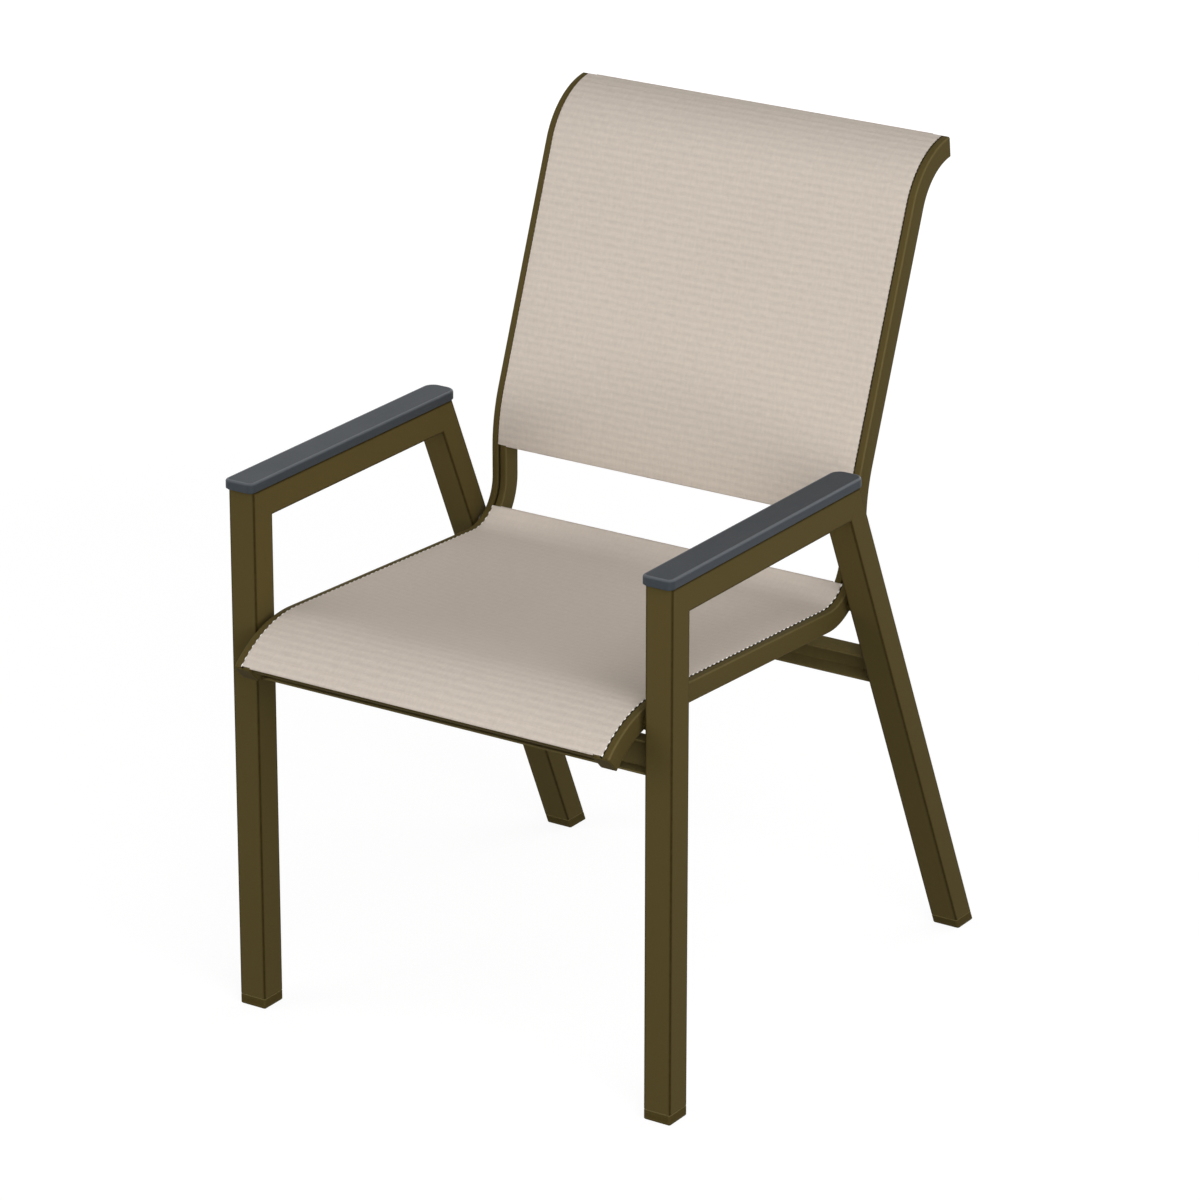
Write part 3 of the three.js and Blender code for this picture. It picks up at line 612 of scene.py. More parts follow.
def rounded_outline(width, height, corners, steps=4, flank=1.4 * MM):
    """Outline of a rounded rectangle as points and marks of wear and painted light; corners run from the +x
    +y one round.
    """
    points, marks = [], []
    for i, radius in enumerate(corners):
        sx = 1 if i in (0, 3) else -1
        sy = 1 if i in (0, 1) else -1
        start = QUARTER * i
        x, y = sx * (width / 2 - radius), sy * (height / 2 - radius)
        bend = arc(x, y, radius, start, start + QUARTER, steps)
        before = (bend[0][0] + flank * math.sin(start), bend[0][1] - flank * math.cos(start))
        after = (bend[-1][0] - flank * math.cos(start), bend[-1][1] - flank * math.sin(start))
        points += [before, *bend, after]
        # Marks are fullest on the corner arcs, where finishes lay their painted shade line or painted
        # highlight.
        marks += [0.0, 0.35, *[1.0] * (steps - 1), 0.35, 0.0]
    return points, marks


def tilted(y, z, turn):
    """A function that puts a section's point at x, turned in the side plane about y and z."""
    turning = Matrix.Rotation(turn, 2)

    def spot(x, u, v):
        moved = turning @ Vector((u, v))
        return x, y + moved.x, z + moved.y

    return spot


# Lines that the pieces follow


class RailLine:
    """The rail's front line in the side plane: straight runs and bends from its front end to its top.

    A pose is a distance along the line, a y, a z and a heading. A part is its first pose and its turn
    in each metre.
    """

    def __init__(self, rail):
        bends_and_runs = (
            (rail.front_radius, -rail.front_drop - rail.seat_slope), (rail.seat_run, 0),
            (rail.bight_radius, QUARTER + rail.seat_slope), (rail.upright_run, 0),
            (rail.back_radius, -rail.recline), (rail.back_run, 0),
            (rail.flare_radius, rail.recline - rail.flare_angle),
        )
        pose, parts = (0.0, 0.0, 0.0, rail.front_drop), []
        for radius_or_run, turn in bends_and_runs:
            reach = radius_or_run * abs(turn) if turn else radius_or_run
            parts.append((pose, turn / reach))
            pose = self.advance(*parts[-1], reach)
        self.length = pose[0]
        _, y, z, _ = parts[1][0]
        dy, dz = LEG_FRONT + rail.setback - y, rail.seat_level - z
        self.parts = [((s, y + dy, z + dz, heading), rate) for (s, y, z, heading), rate in parts]
        self.starts = [pose[0] for pose, _ in self.parts]

    @staticmethod
    def advance(pose, rate, distance):
        s, y, z, heading = pose
        if rate == 0:
            return s + distance, y + distance * math.cos(heading), z + distance * math.sin(heading), heading
        end = heading + rate * distance
        along = (math.sin(end) - math.sin(heading)) / rate
        rise = (math.cos(heading) - math.cos(end)) / rate
        return s + distance, y + along, z + rise, end

    def pose(self, s):
        start, rate = next((part for part in reversed(self.parts) if part[0][0] <= s), self.parts[0])
        return self.advance(start, rate, s - start[0])

    def point(self, s, x, height):
        _, y, z, heading = self.pose(s)
        return x, y - height * math.sin(heading), z + height * math.cos(heading)

    def stations(self, start, end, step, turn=math.radians(2.5)):
        """Places from start to end, no further apart than step or than a small turn."""
        cuts = [start, *(s for s in self.starts if start < s < end), end]
        places = []
        for low, high in zip(cuts, cuts[1:]):
            swing = abs(self.pose(high - 1e-9)[3] - self.pose(low + 1e-9)[3])
            count = max(1, math.ceil((high - low) / step), math.ceil(swing / turn))
            places.extend(np.linspace(low, high, count, endpoint=False))
        return [*places, end]


def rail_line():
    return RailLine(chair().rail)


def sling_spans(line):
    """Start and end of the seat sling and of the back sling along the rail line."""
    rail, sizes = chair().rail, chair().sling
    seat = (rail.plug + sizes.front_show, line.starts[2] + sizes.seat_bight)
    return seat, (line.starts[3] + sizes.back_lift, line.length - rail.plug)


def leg_centre(body, rear, z):
    """Middle of a leg, front to rear, at a height."""
    if not rear:
        return LEG_FRONT + body.leg_depth / 2
    half = body.rear_depth / math.cos(body.rear_rake) / 2
    return LEG_FRONT + body.rear_reach + half - z * math.tan(body.rear_rake)


# Side frames


def tube_ring(section, x, base, axis, normal, through):
    """The tube's outline where a plane cuts it."""
    across = flat(-axis.z, axis.y)
    ring = []
    for u, v in section:
        corner = base + across * v
        corner.x = x + u
        ring.append(corner + axis * ((through - corner).dot(normal) / axis.dot(normal)))
    return ring


def side_frame(side_name, side):
    """One welded side frame: front leg, arm tube and rear leg as a single mitred tube."""
    body = chair().body
    width = LEG_OUTER - LEG_INNER
    x = side * (LEG_OUTER + LEG_INNER) / 2
    arm_bottom = ARM_TOP - body.arm_height
    half = body.rear_depth / math.cos(body.rear_rake) / 2
    rear_top, rear_bottom = (leg_centre(body, True, z) for z in (ARM_TOP, arm_bottom))
    corners = ((flat(LEG_FRONT, ARM_TOP), flat(LEG_FRONT + body.leg_depth, arm_bottom)),
               (flat(rear_top + half, ARM_TOP), flat(rear_bottom - half, arm_bottom)))
    mitres = [(flat(outer.z - inner.z, inner.y - outer.y).normalized(), inner) for outer, inner in corners]
    floor = (flat(0, 1), flat(0, GLIDE_TOP))
    rake = flat(math.sin(body.rear_rake), -math.cos(body.rear_rake))
    runs = (
        (flat(leg_centre(body, False, 0), 0), flat(0, 1), body.leg_depth, floor, mitres[0]),
        (flat(0, (ARM_TOP + arm_bottom) / 2), flat(1, 0), body.arm_height, *mitres),
        (flat(leg_centre(body, True, 0), 0), rake, body.rear_depth, mitres[1], floor),
    )
    from_start, to_end = (0, 1.2, 5), (-5, -1.2, 0)  # Millimetres past a run's first and last plane
    skin, walls = Skin(), []
    for inset in (0, body.tube_wall):
        stations = []
        for base, axis, depth, *planes in runs:
            radius = max(body.tube_corner - inset, 0.6 * MM)
            section, mark = rounded_outline(width - 2 * inset, depth - 2 * inset, [radius] * 4)
            for (normal, through), steps in zip(planes, (from_start, to_end)):
                sign = 1 if normal.dot(axis) > 0 else -1
                for step in steps:
                    ring = tube_ring(section, x, base, axis, normal, through + normal * sign * step * MM)
                    stations.append((ring, mark))
        walls.append(skin.tube(stations))
    for index in (0, -1):
        skin.bridge(walls[0][index], walls[1][index])
    nodes = [f"{part}_{side_name}" for part in ("front_leg", "arm_rail", "rear_leg")]
    piece(f"side_frame_{side_name}", skin, "tube", *nodes)


class CHAIR_OT_side_frames(bpy.types.Operator):
    """Builds both welded side frames of square tube."""

    bl_idname = "chair.side_frames"
    bl_label = "Side frames"

    def execute(self, context):
        for side_name, side in SIDES:
            side_frame(side_name, side)
        return {"FINISHED"}


# Foot glides


def glide(side_name, end):
    """One foot glide: rounded at the floor, with a painted highlight on the rim under the tube."""
    body = chair().body
    node = f"{end}_glide_{side_name}"
    x, rear = box(node)[2][0], end == "rear"
    depth, stretch = (body.rear_depth, 1 / math.cos(body.rear_rake)) if rear else (body.leg_depth, 1)
    width, top, foot = LEG_OUTER - LEG_INNER, GLIDE_TOP - GAP, body.glide_round
    levels = [(foot * (1 - math.sin(a)), foot * (1 - math.cos(a))) for a in np.linspace(0, QUARTER, 6)]
    levels += [(0, 5 * MM), (0, top - 1.1 * MM), (0.2 * MM, top - 0.8 * MM), (1.0 * MM, top), (1.5 * MM, top)]
    stations = []
    for inset, z in levels:
        section, mark = rounded_outline(width - 2 * inset, depth - 2 * inset, [body.tube_corner] * 4)
        # Painted highlight on the rim under the tube, where the seam catches light; the rounding at the floor
        # is marked a little paler.
        rub_and_painted_light = 1.0 if z > top - 1 * MM else 0.25 if z < foot else 0.0
        stations.append(([(x + u, leg_centre(body, rear, z) + v * stretch, z) for u, v in section],
                         [max(rub_and_painted_light, 0.15 * m) for m in mark]))
    piece(f"{end}_foot_{side_name}", closed(stations), "plastic", node)


class CHAIR_OT_foot_glides(bpy.types.Operator):
    """Builds the four moulded foot glides."""

    bl_idname = "chair.foot_glides"
    bl_label = "Foot glides"

    def execute(self, context):
        for side_name, _ in SIDES:
            for end in ("front", "rear"):
                glide(side_name, end)
        return {"FINISHED"}


# Arm caps


def arm_cap(side_name):
    """One arm cap: a foot set in from the side, an upright flank and a rounded edge that carries a painted
    highlight.
    """
    body = chair().body
    low, high, middle = box(f"arm_cap_{side_name}")
    width, depth = high[0] - low[0], high[1] - low[1]
    edge, foot = body.cap_edge, low[2] + body.cap_foot
    levels = [(body.cap_undercut, low[2], 0), (body.cap_undercut, foot, 0), (0.3 * MM, foot, 0),
              (0, foot + 0.3 * MM, 0), (0, high[2] - edge - 0.6 * MM, 0)]
    for a in np.linspace(0, QUARTER, 9):
        # The shine mark lays the cap's painted highlight along the rounded top edge.
        shine = math.sin(min(1.3 * a, QUARTER)) ** 2
        levels.append((edge * (1 - math.cos(a)), high[2] - edge * (1 - math.sin(a)), shine))
    levels.append((edge + 0.9 * MM, high[2], 0))
    stations = []
    for inset, z, shine in levels:
        rear, front = (max(r - inset, 0.5 * MM) for r in (body.cap_rear_corner, body.cap_front_corner))
        outline, _ = rounded_outline(width - 2 * inset, depth - 2 * inset, [rear, rear, front, front], 8)
        stations.append(([(middle[0] + u, middle[1] + v, z) for u, v in outline], shine))
    piece(f"arm_pad_{side_name}", closed(stations), "cap", f"arm_cap_{side_name}")


class CHAIR_OT_arm_caps(bpy.types.Operator):
    """Builds the two moulded arm caps."""

    bl_idname = "chair.arm_caps"
    bl_label = "Arm caps"

    def execute(self, context):
        for side_name, _ in SIDES:
            arm_cap(side_name)
        return {"FINISHED"}


# Geometry Nodes


def modifier_graph(name, inputs, output):
    """A new Geometry Nodes tree with named inputs and one output; returns its graph and what it is given."""
    tree = bpy.data.node_groups.new(name, "GeometryNodeTree")
    for label, kind in inputs.items():
        tree.interface.new_socket(label, in_out="INPUT", socket_type=f"NodeSocket{kind}")
    tree.interface.new_socket(output, in_out="OUTPUT", socket_type="NodeSocketGeometry")
    graph = Graph(tree)
    first = graph.node("NodeGroupInput")
    return graph, {label: first.other(label) for label in inputs}


def finished(g, instances, material, output, soft=False):
    """Ends a tree: its instances made real, smooth if wanted, and given their material."""
    made = g.node("GeometryNodeRealizeInstances", {"Geometry": instances})
    if soft:
        made = g.node("GeometryNodeSetShadeSmooth", {"Geometry": made})
    made = g.node("GeometryNodeSetMaterial", {"Geometry": made, "Material": material})
    g.node("NodeGroupOutput", {output: made})
    return g.tree


@functools.cache
def row_tree():
    """Node tree that sets small rounded beads along a path: stitches of thread or ripples of weld."""
    sockets = {"Path": "Geometry", "Pitch": "Float", "Length": "Float", "Radius": "Float", "Seed": "Int",
               "Material": "Material"}
    g, given = modifier_graph("bead_row", sockets, "Row")
    curve = g.node("GeometryNodeMeshToCurve", {"Mesh": given["Path"]})
    spaced = g.node("GeometryNodeResampleCurve", {"Curve": curve, "Length": given["Pitch"]}, mode="LENGTH")
    scale = g.node("ShaderNodeCombineXYZ",
                   {"X": given["Length"] * 0.5, "Y": given["Radius"], "Z": given["Radius"]})
    ball = g.node("GeometryNodeMeshUVSphere", {"Segments": 6, "Rings": 5, "Radius": 1.0})
    bead = g.node("GeometryNodeTransform", {"Geometry": ball, "Scale": scale})
    tangent = g.node("GeometryNodeInputTangent")
    turn = g.node("FunctionNodeAlignRotationToVector", {"Vector": tangent}, axis="X")
    least, most = (0.90, 0.88, 0.88), (1.06, 1.10, 1.10)
    varied = g.node("FunctionNodeRandomValue", {"Min": least, "Max": most, "Seed": given["Seed"]},
                    data_type="FLOAT_VECTOR")
    put = g.node("GeometryNodeInstanceOnPoints",
                 {"Points": spaced, "Instance": bead, "Rotation": turn, "Scale": varied})
    return finished(g, put, given["Material"], "Row", soft=True)


@functools.cache
def set_tree():
    """Node tree that sets one fixing at every point, turned about Z by the point's own angle."""
    sockets = {"Points": "Geometry", "Fixing": "Object", "Material": "Material"}
    g, given = modifier_graph("fixing_set", sockets, "Set")
    source = g.node("GeometryNodeObjectInfo", {"Object": given["Fixing"]}, output="Geometry")
    angle_at_point = g.node("GeometryNodeInputNamedAttribute", {"Name": "turn"}, data_type="FLOAT")
    turn = g.node("ShaderNodeCombineXYZ", {"Z": angle_at_point})
    put = g.node("GeometryNodeInstanceOnPoints",
                 {"Points": given["Points"], "Instance": source, "Rotation": turn})
    return finished(g, put, given["Material"], "Set")


def applied(made):
    """Keeps what an object's modifiers make as its own plain mesh."""
    graph = bpy.context.evaluated_depsgraph_get()
    mesh = bpy.data.meshes.new_from_object(made.evaluated_get(graph))
    made.modifiers.clear()
    made.data = mesh
    mesh.name = made.name
    return made


def noded(made, tree, **values):
    """Runs a node tree on an object, its inputs set by their identifiers, and keeps the result."""
    modifier = fitted(made.modifiers.new(tree.name, "NODES"), node_group=tree)
    sockets = {item.name: item.identifier for item in tree.interface.items_tree if item.in_out == "INPUT"}
    for name, value in values.items():
        modifier[sockets[name]] = value
    return applied(made)


def bead_rows(name, paths, kind, pitch, reach, radius, seed):
    """A piece of beads that follow one or more open paths."""
    points, edges = [], []
    for path in paths:
        start = len(points)
        points.extend(path)
        edges.extend((i, i + 1) for i in range(start, len(points) - 1))
    made = added(name, mesh_of(name, points, edges))
    noded(made, row_tree(), Pitch=pitch, Length=reach, Radius=radius, Seed=seed, Material=finish_of(kind))
    return placed(made, kind)


# Crossbars and their welds


def channel_outline(body):
    """Channel section, open to the front, with eased edges; points are (y, z) with marks of painted light."""
    reach, rise = body.bar_depth / 2, body.bar_height / 2
    web, flange = reach - body.bar_wall, rise - body.bar_wall
    # Marks lay a painted highlight on the outer edges and lighten the lower flange's inner face as if lit,
    # where it lies in shade.
    corners = [
        (-reach, -rise, 1), (reach, -rise, 1), (reach, rise, 1), (-reach, rise, 1),
        (-reach, flange, 0.3), (web, flange, 0), (web, -flange, 0.6), (-reach, -flange, 1),
    ]
    points, marks = [], []
    for i, (y, z, wear) in enumerate(corners):
        before, after = Vector(corners[i - 1][:2]), Vector(corners[(i + 1) % len(corners)][:2])
        here = Vector((y, z))
        start = here + (before - here).normalized() * body.bar_edge
        end = here + (after - here).normalized() * body.bar_edge
        for t in np.linspace(0, 1, 4):
            points.append(tuple(start * (1 - t) ** 2 + here * 2 * t * (1 - t) + end * t ** 2))
            marks.append(float(wear))
    return points, marks


def crossbar(name, rear, level):
    """One channel between the legs, with a weld bead round its outer faces at each end."""
    body = chair().body
    outline, mark = channel_outline(body)
    spot = tilted(leg_centre(body, rear, level), level, body.rear_rake if rear else 0)
    end = LEG_INNER - HAIR
    stops = (-end, -end + 4 * MM, end - 4 * MM, end)
    skin = closed([([spot(x, *point) for point in outline], mark) for x in stops])
    piece(f"{name}_channel", skin, "rail", name)
    outer_faces = outline[: 4 * 4 + 2]
    paths = [[spot(side * (end - 0.5 * MM), *point) for point in outer_faces] for _, side in SIDES]
    ripple = 2.4 * body.bead_radius
    bead_rows(f"{name}_welds", paths, "tube", body.bead_pitch, ripple, body.bead_radius, seed=3)


class CHAIR_OT_crossbars(bpy.types.Operator):
    """Builds the front and rear channel crossbars with their weld beads."""

    bl_idname = "chair.crossbars"
    bl_label = "Crossbars"

    def execute(self, context):
        crossbar("front_crossbar", False, chair().body.front_bar_level)
        crossbar("rear_crossbar", True, chair().body.rear_bar_level)
        return {"FINISHED"}


# Sling rails, their plugs and the spreader bars


def rail_section(rail, side):
    """Rail outline with its spline channel: points (x outboard, height over the front face) and marks for a
    painted highlight.
    """
    half, lip = (RAIL_OUTER - RAIL_INNER) / 2, rail.slot / 2
    mouth = math.asin(lip / rail.channel)
    deep = rail.lip + rail.channel * math.cos(mouth)
    small, large = rail.corner, rail.outer_corner
    ease = 0.5 * MM
    points = [(-lip, -rail.lip), *arc(-lip - ease, -ease, ease, 0, QUARTER, 3)]
    marks = [0.0, 0.0, 0.0, 0.1, 0.0]
    # Marks lay a painted highlight on the corners, fullest on the outer front one.
    corners = [
        (-half + small, -small, small, 1, 4, 0.7),
        (-half + small, small - rail.depth, small, 2, 4, 0.7),
        (half - small, small - rail.depth, small, 3, 4, 0.7),
        (half - large, -large, large, 0, 6, 1.0),
    ]
    for x, y, radius, turn, steps, wear in corners:
        points += arc(x, y, radius, QUARTER * turn, QUARTER * (turn + 1), steps)
        marks += [wear * math.sin(math.pi * i / steps) ** 1.5 for i in range(steps + 1)]
    bore = arc(0, -deep, rail.channel, QUARTER - mouth, mouth - 3 * QUARTER, 16)[:-1]
    points += arc(lip + ease, -ease, ease, QUARTER, 2 * QUARTER, 3) + bore
    marks += [0.0, 0.1, 0.0, 0.0] + [0.0] * len(bore)
    return [(side * x, y) for x, y in points], marks


def rail_plug(line, side_name, side, end):
    """Moulded end plug: the rail's outline with an eased rim, standing off the rail by a gap."""
    rail = chair().rail
    width, rim = RAIL_OUTER - RAIL_INNER, rail.plug_edge
    steps = [(0, rail.plug - GAP, 0), (0, rim, 0.2)]
    steps += [(rim * (1 - math.cos(a)), rim * (1 - math.sin(a)), 0.2) for a in np.linspace(0.3, QUARTER, 4)]
    steps.append((rim + 0.8 * MM, 0, 0))
    stations = []
    for inset, from_end, wear in steps:
        s = line.length - from_end if end == "top" else from_end
        corners = [max(c - inset, 0.4 * MM) for c in (rail.outer_corner, *[rail.corner] * 3)]
        outline, _ = rounded_outline(width - 2 * inset, rail.depth - 2 * inset, corners, 5)
        stations.append(([line.point(s, side * (RAIL_X + u), v - rail.depth / 2) for u, v in outline], wear))
    piece(f"rail_end_{side_name}_{end}", closed(stations), "plastic", f"rail_plug_{side_name}_{end}")


class CHAIR_OT_sling_rails(bpy.types.Operator):
    """Builds the two bent sling rails and their end plugs."""

    bl_idname = "chair.sling_rails"
    bl_label = "Sling rails"

    def execute(self, context):
        line, rail = rail_line(), chair().rail
        places = line.stations(rail.plug, line.length - rail.plug, 30 * MM)
        for side_name, side in SIDES:
            section, marks = rail_section(rail, side)
            rings = [[line.point(s, side * RAIL_X + u, v) for u, v in section] for s in places]
            skin = closed([(ring, marks) for ring in rings])
            piece(f"bent_rail_{side_name}", skin, "rail", f"sling_rail_{side_name}")
            for end in ("front", "top"):
                rail_plug(line, side_name, side, end)
        return {"FINISHED"}


def spreader_bar(line, name, station):
    """One oval bar between the rails, square to their line, with a plug's flange at each end."""
    rail = chair().rail
    _, y, z, heading = line.pose(station)
    spot = tilted(y, z, heading)
    deep = rail.bar_drop + rail.bar_thickness / 2

    def block(label, kind, stops, node):
        stations = []
        for x, inset in stops:
            outline, mark = rounded_outline(rail.bar_breadth - 2 * inset, rail.bar_thickness - 2 * inset,
                                            [rail.bar_corner - inset] * 4, 6, 0.8 * MM)
            # Half marks: the bar's corners take half of the tube coat's painted shade line, the plug flanges'
            # edges a painted highlight.
            stations.append(([spot(x, u, v - deep) for u, v in outline], [0.5 * m for m in mark]))
        piece(label, closed(stations), kind, node)

    inner = RAIL_INNER - rail.bar_flange - 2 * GAP
    block(f"{name}_spreader", "tube", [(-inner, 0), (inner, 0)], f"{name}_bar")
    face, ease = RAIL_INNER - GAP, 0.4 * MM
    root = face - rail.bar_flange
    flange = ((root, ease), (root + ease, 0), (face - ease, 0), (face, ease))
    for side_name, side in SIDES:
        stops = [(side * x, inset) for x, inset in flange]
        block(f"{name}_end_{side_name}", "plastic", stops, f"{name}_bar_plug_{side_name}")


class CHAIR_OT_spreader_bars(bpy.types.Operator):
    """Builds the four spreader bars under the ends of the slings."""

    bl_idname = "chair.spreader_bars"
    bl_label = "Spreader bars"

    def execute(self, context):
        line, rail = rail_line(), chair().rail
        seat, back = sling_spans(line)
        inset = rail.bar_margin + rail.bar_breadth / 2
        places = {"seat_front": rail.plug + inset, "seat_rear": seat[1] - inset,
                  "back_lower": back[0] + inset, "back_upper": back[1] - inset}
        for name, station in places.items():
            spreader_bar(line, name, station)
        return {"FINISHED"}


# Fixings


def turned(profile, place, side, steps=28):
    """A body turned about X at a place; profile points are (radius, x, mark of wear and painted light)."""
    angles = np.linspace(0, math.tau, steps, endpoint=False)
    stations = []
    for radius, x, wear in profile:
        ring = [(side * x, place[1] + radius * math.cos(a), place[2] + radius * math.sin(a)) for a in angles]
        stations.append((ring, wear))
    return closed(stations)


def bush(label, kind, node, side, profile_of):
    """A turned piece that fills a CAD node's box; profile_of gives its profile between the two tips."""
    low, high, centre = box(node)
    near, far = sorted((abs(low[0]), abs(high[0])))
    profile = [(TIP, near, 0), *profile_of((high[1] - low[1]) / 2, near, far), (TIP, far, 0)]
    piece(label, turned(profile, centre, side), kind, node)


def spacer_profile(radius, near, far, ease=0.6 * MM):
    return [(radius - ease, near, 0.3), (radius, near + ease, 0.1), (radius, far - ease, 0.1),
            (radius - ease, far, 0.3)]


def insert_profile(rim, near, far, ease=0.4 * MM):
    shank, face = rim * 0.7, LEG_INNER - HAIR
    return [(rim - ease, near, 0), (rim, near + ease, 0), (rim, face, 0), (shank, face, 0), (shank, far, 0)]


def socket_bolt(head, height, shank, reach, socket, axis):
    """Button-head bolt with a six-sided socket; its seat is at the origin and its shank runs along axis."""
    steps = 24
    angles = np.linspace(0, math.tau, steps, endpoint=False)
    sixth = math.pi / 6
    hexagon = [socket * math.cos(sixth) / math.cos((a + sixth) % (2 * sixth) - sixth) for a in angles]
    levels = [(TIP, reach), (shank * 0.7, reach), (shank, reach - 0.8 * MM), (shank, 0),
              (head - 0.2 * MM, 0), (head, -0.25 * MM)]
    for a in np.linspace(0.15, 0.86, 6):
        levels.append((head * math.cos(a * QUARTER) ** 0.55, -height * math.sin(a * QUARTER)))
    levels += [(hexagon, -height), (hexagon, -0.35 * height), (TIP, -0.3 * height)]
    stations = []
    for radii, x in levels:
        radii = radii if isinstance(radii, list) else [radii] * steps
        ring = [(radius * math.cos(a), radius * math.sin(a)) for radius, a in zip(radii, angles)]
        stations.append(([(x, u, v) if axis == "X" else (u, v, x) for u, v in ring], 0.0))
    mesh = skinned("bolt_pattern", closed(stations), sharp=35, merge=0.01 * MM)
    return bpy.data.objects.new("bolt_pattern", mesh)


def fixing_set(name, pattern, places):
    """Sets the pattern at each node's place and removes it; places maps nodes to points and sides."""
    made = added(name, mesh_of(name, [point for point, _ in places.values()]))
    marked(made.data, "turn", [0.0 if side > 0 else math.pi for _, side in places.values()])
    noded(made, set_tree(), Fixing=pattern, Material=finish_of("steel"))
    bpy.data.objects.remove(pattern)
    placed(made, "steel", *places)


class CHAIR_OT_fixings(bpy.types.Operator):
    """Sets the rail bolts, spacers and leg inserts, and the screws under the arms."""

    bl_idname = "chair.fixings"
    bl_label = "Fixings"

    def execute(self, context):
        bolts, screws = {}, {}
        for side_name, side in SIDES:
            for place in (f"{side_name}_front", f"{side_name}_rear"):
                _, y, z = box(f"rail_bolt_{place}")[2]
                bolts[f"rail_bolt_{place}"] = ((side * (RAIL_INNER - GAP), y, z), side)
                bush(f"spacer_{place}", "plastic", f"rail_spacer_{place}", side, spacer_profile)
                bush(f"insert_{place}", "steel", f"leg_insert_{place}", side, insert_profile)
                x, y, _ = box(f"arm_cap_screw_{place}")[2]
                under_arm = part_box(f"arm_rail_{side_name}")[0][2] - GAP
                screws[f"arm_cap_screw_{place}"] = ((x, y, under_arm), 1)
        low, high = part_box("rail_bolt_left_front")
        head = (high[1] - low[1]) / 2
        bolt = socket_bolt(head, 3.2 * MM, 3.2 * MM, high[0] - RAIL_INNER, 2.0 * MM, "X")
        fixing_set("rail_bolts", bolt, bolts)
        low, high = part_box("arm_cap_screw_left_front")
        head = (high[0] - low[0]) / 2
        screw = socket_bolt(head, 2.6 * MM, 2.4 * MM, high[2] - under_arm, 1.5 * MM, "Z")
        fixing_set("arm_screws", screw, screws)
        return {"FINISHED"}


# Slings


def sag_share(s, start, end):
    """Share of the full sag at a station: none at the start and the end, with a soft run in and out."""
    along = min(max((s - start) / (end - start), 0), 1)
    return math.sin(math.pi * along) ** 2


def cloth_columns(sizes):
    """Places across the cloth as (x, height over the middle of the cloth, distance along the cloth)."""
    bend_x = RAIL_X + sizes.edge_place - sizes.fold
    half = [(RAIL_INNER * t, 0.0) for t in np.linspace(0, 1, 25)]
    half += [(x, 0.0) for x in np.linspace(RAIL_INNER, bend_x, 5)[1:]]
    half += [(x, y - sizes.fold) for x, y in arc(bend_x, 0, sizes.fold, QUARTER, 0, 5)[1:]]
    half.append((half[-1][0], -sizes.tongue))
    run, rows = 0.0, []
    for before, (x, y) in zip([half[0], *half], half):
        run += math.dist(before, (x, y))
        rows.append((x, y, run))
    return [(-x, y, -d) for x, y, d in reversed(rows[1:])] + rows


def cloth_grid(name, line, span, sag):
    """The flat weave laid on the rails, sagging between them; returns it with its pins and flat size."""
    sizes, rail = chair().sling, chair().rail
    start, end = span
    over_bar = rail.bar_margin + rail.bar_breadth * 1.5
    level = line.starts[1]
    taut = level - 0.35 * rail.front_radius if start < level else start + over_bar
    columns = cloth_columns(sizes)
    stations = line.stations(start, end, 11 * MM, math.radians(4))
    points, places, pins, hidden = [], [], [], []
    for s in stations:
        share = sag_share(s, taut, end - over_bar)
        for x, y, d in columns:
            crown = max(0.0, 1 - (x / RAIL_INNER) ** 2)
            points.append(line.point(s, x, sizes.lift + y - sag * crown * share))
            places.append((d, s))
            # Painted shade: the cloth is marked dark where it turns down into the rail's slot.
            hidden.append(min(1.0, max(0.0, -y / sizes.fold - 0.06) / 0.34))
            pins.append(1.0 - min(1.0, 1.4 * share * crown) ** 2)
    wide = len(columns)
    corners = [row * wide + i for row in range(len(stations) - 1) for i in range(wide - 1)]
    mesh = mesh_of(name, points, faces=[(a, a + 1, a + 1 + wide, a + wide) for a in corners])
    unrolled(mesh, places)
    marked(mesh, "wear", hidden)
    made = added(name, mesh)
    group = made.vertex_groups.new(name="held")
    for index, pin in enumerate(pins):
        if pin:
            group.add([index], pin, "REPLACE")
    return made, pins, (columns[-1][2] - columns[0][2], end - start)


CLOTH = {"quality": 8, "mass": 0.012, "tension_stiffness": 60, "compression_stiffness": 60,
         "shear_stiffness": 25, "bending_stiffness": 1.5, "air_damping": 6, "vertex_group_mass": "held"}


def settle(made, pins, steps=24, reach=2.5 * MM):
    """Lets the stretched cloth settle under its own weight, held in the rails and over the bars."""
    before = np.array([v.co for v in made.data.vertices])
    cloth = made.modifiers.new("settle", "CLOTH")
    fitted(cloth.settings, **CLOTH)
    cloth.collision_settings.use_collision = False
    fitted(cloth.point_cache, frame_start=1, frame_end=steps)
    scene = bpy.context.scene
    for step in range(1, steps + 1):
        scene.frame_set(step)
    graph = bpy.context.evaluated_depsgraph_get()
    move = np.array([v.co for v in made.evaluated_get(graph).data.vertices]) - before
    made.modifiers.clear()
    scene.frame_set(1)
    far = np.linalg.norm(move, axis=1, keepdims=True)
    move *= np.minimum(1, reach / np.maximum(far, 1e-9)) * (1 - np.array(pins))[:, None]
    made.data.vertices.foreach_set("co", (before + move).ravel())
    made.data.update()


def thickened(made, thickness):
    """Gives the cloth its thickness and turns it into a plain closed mesh."""
    fitted(made.modifiers.new("cloth", "SOLIDIFY"), thickness=thickness, offset=0, use_even_offset=True)
    fine = {"levels": 1, "render_levels": 1, "boundary_smooth": "PRESERVE_CORNERS"}
    fitted(made.modifiers.new("smooth", "SUBSURF"), **fine)
    applied(made)
    made.vertex_groups.clear()
    smooth(made.data, 50)


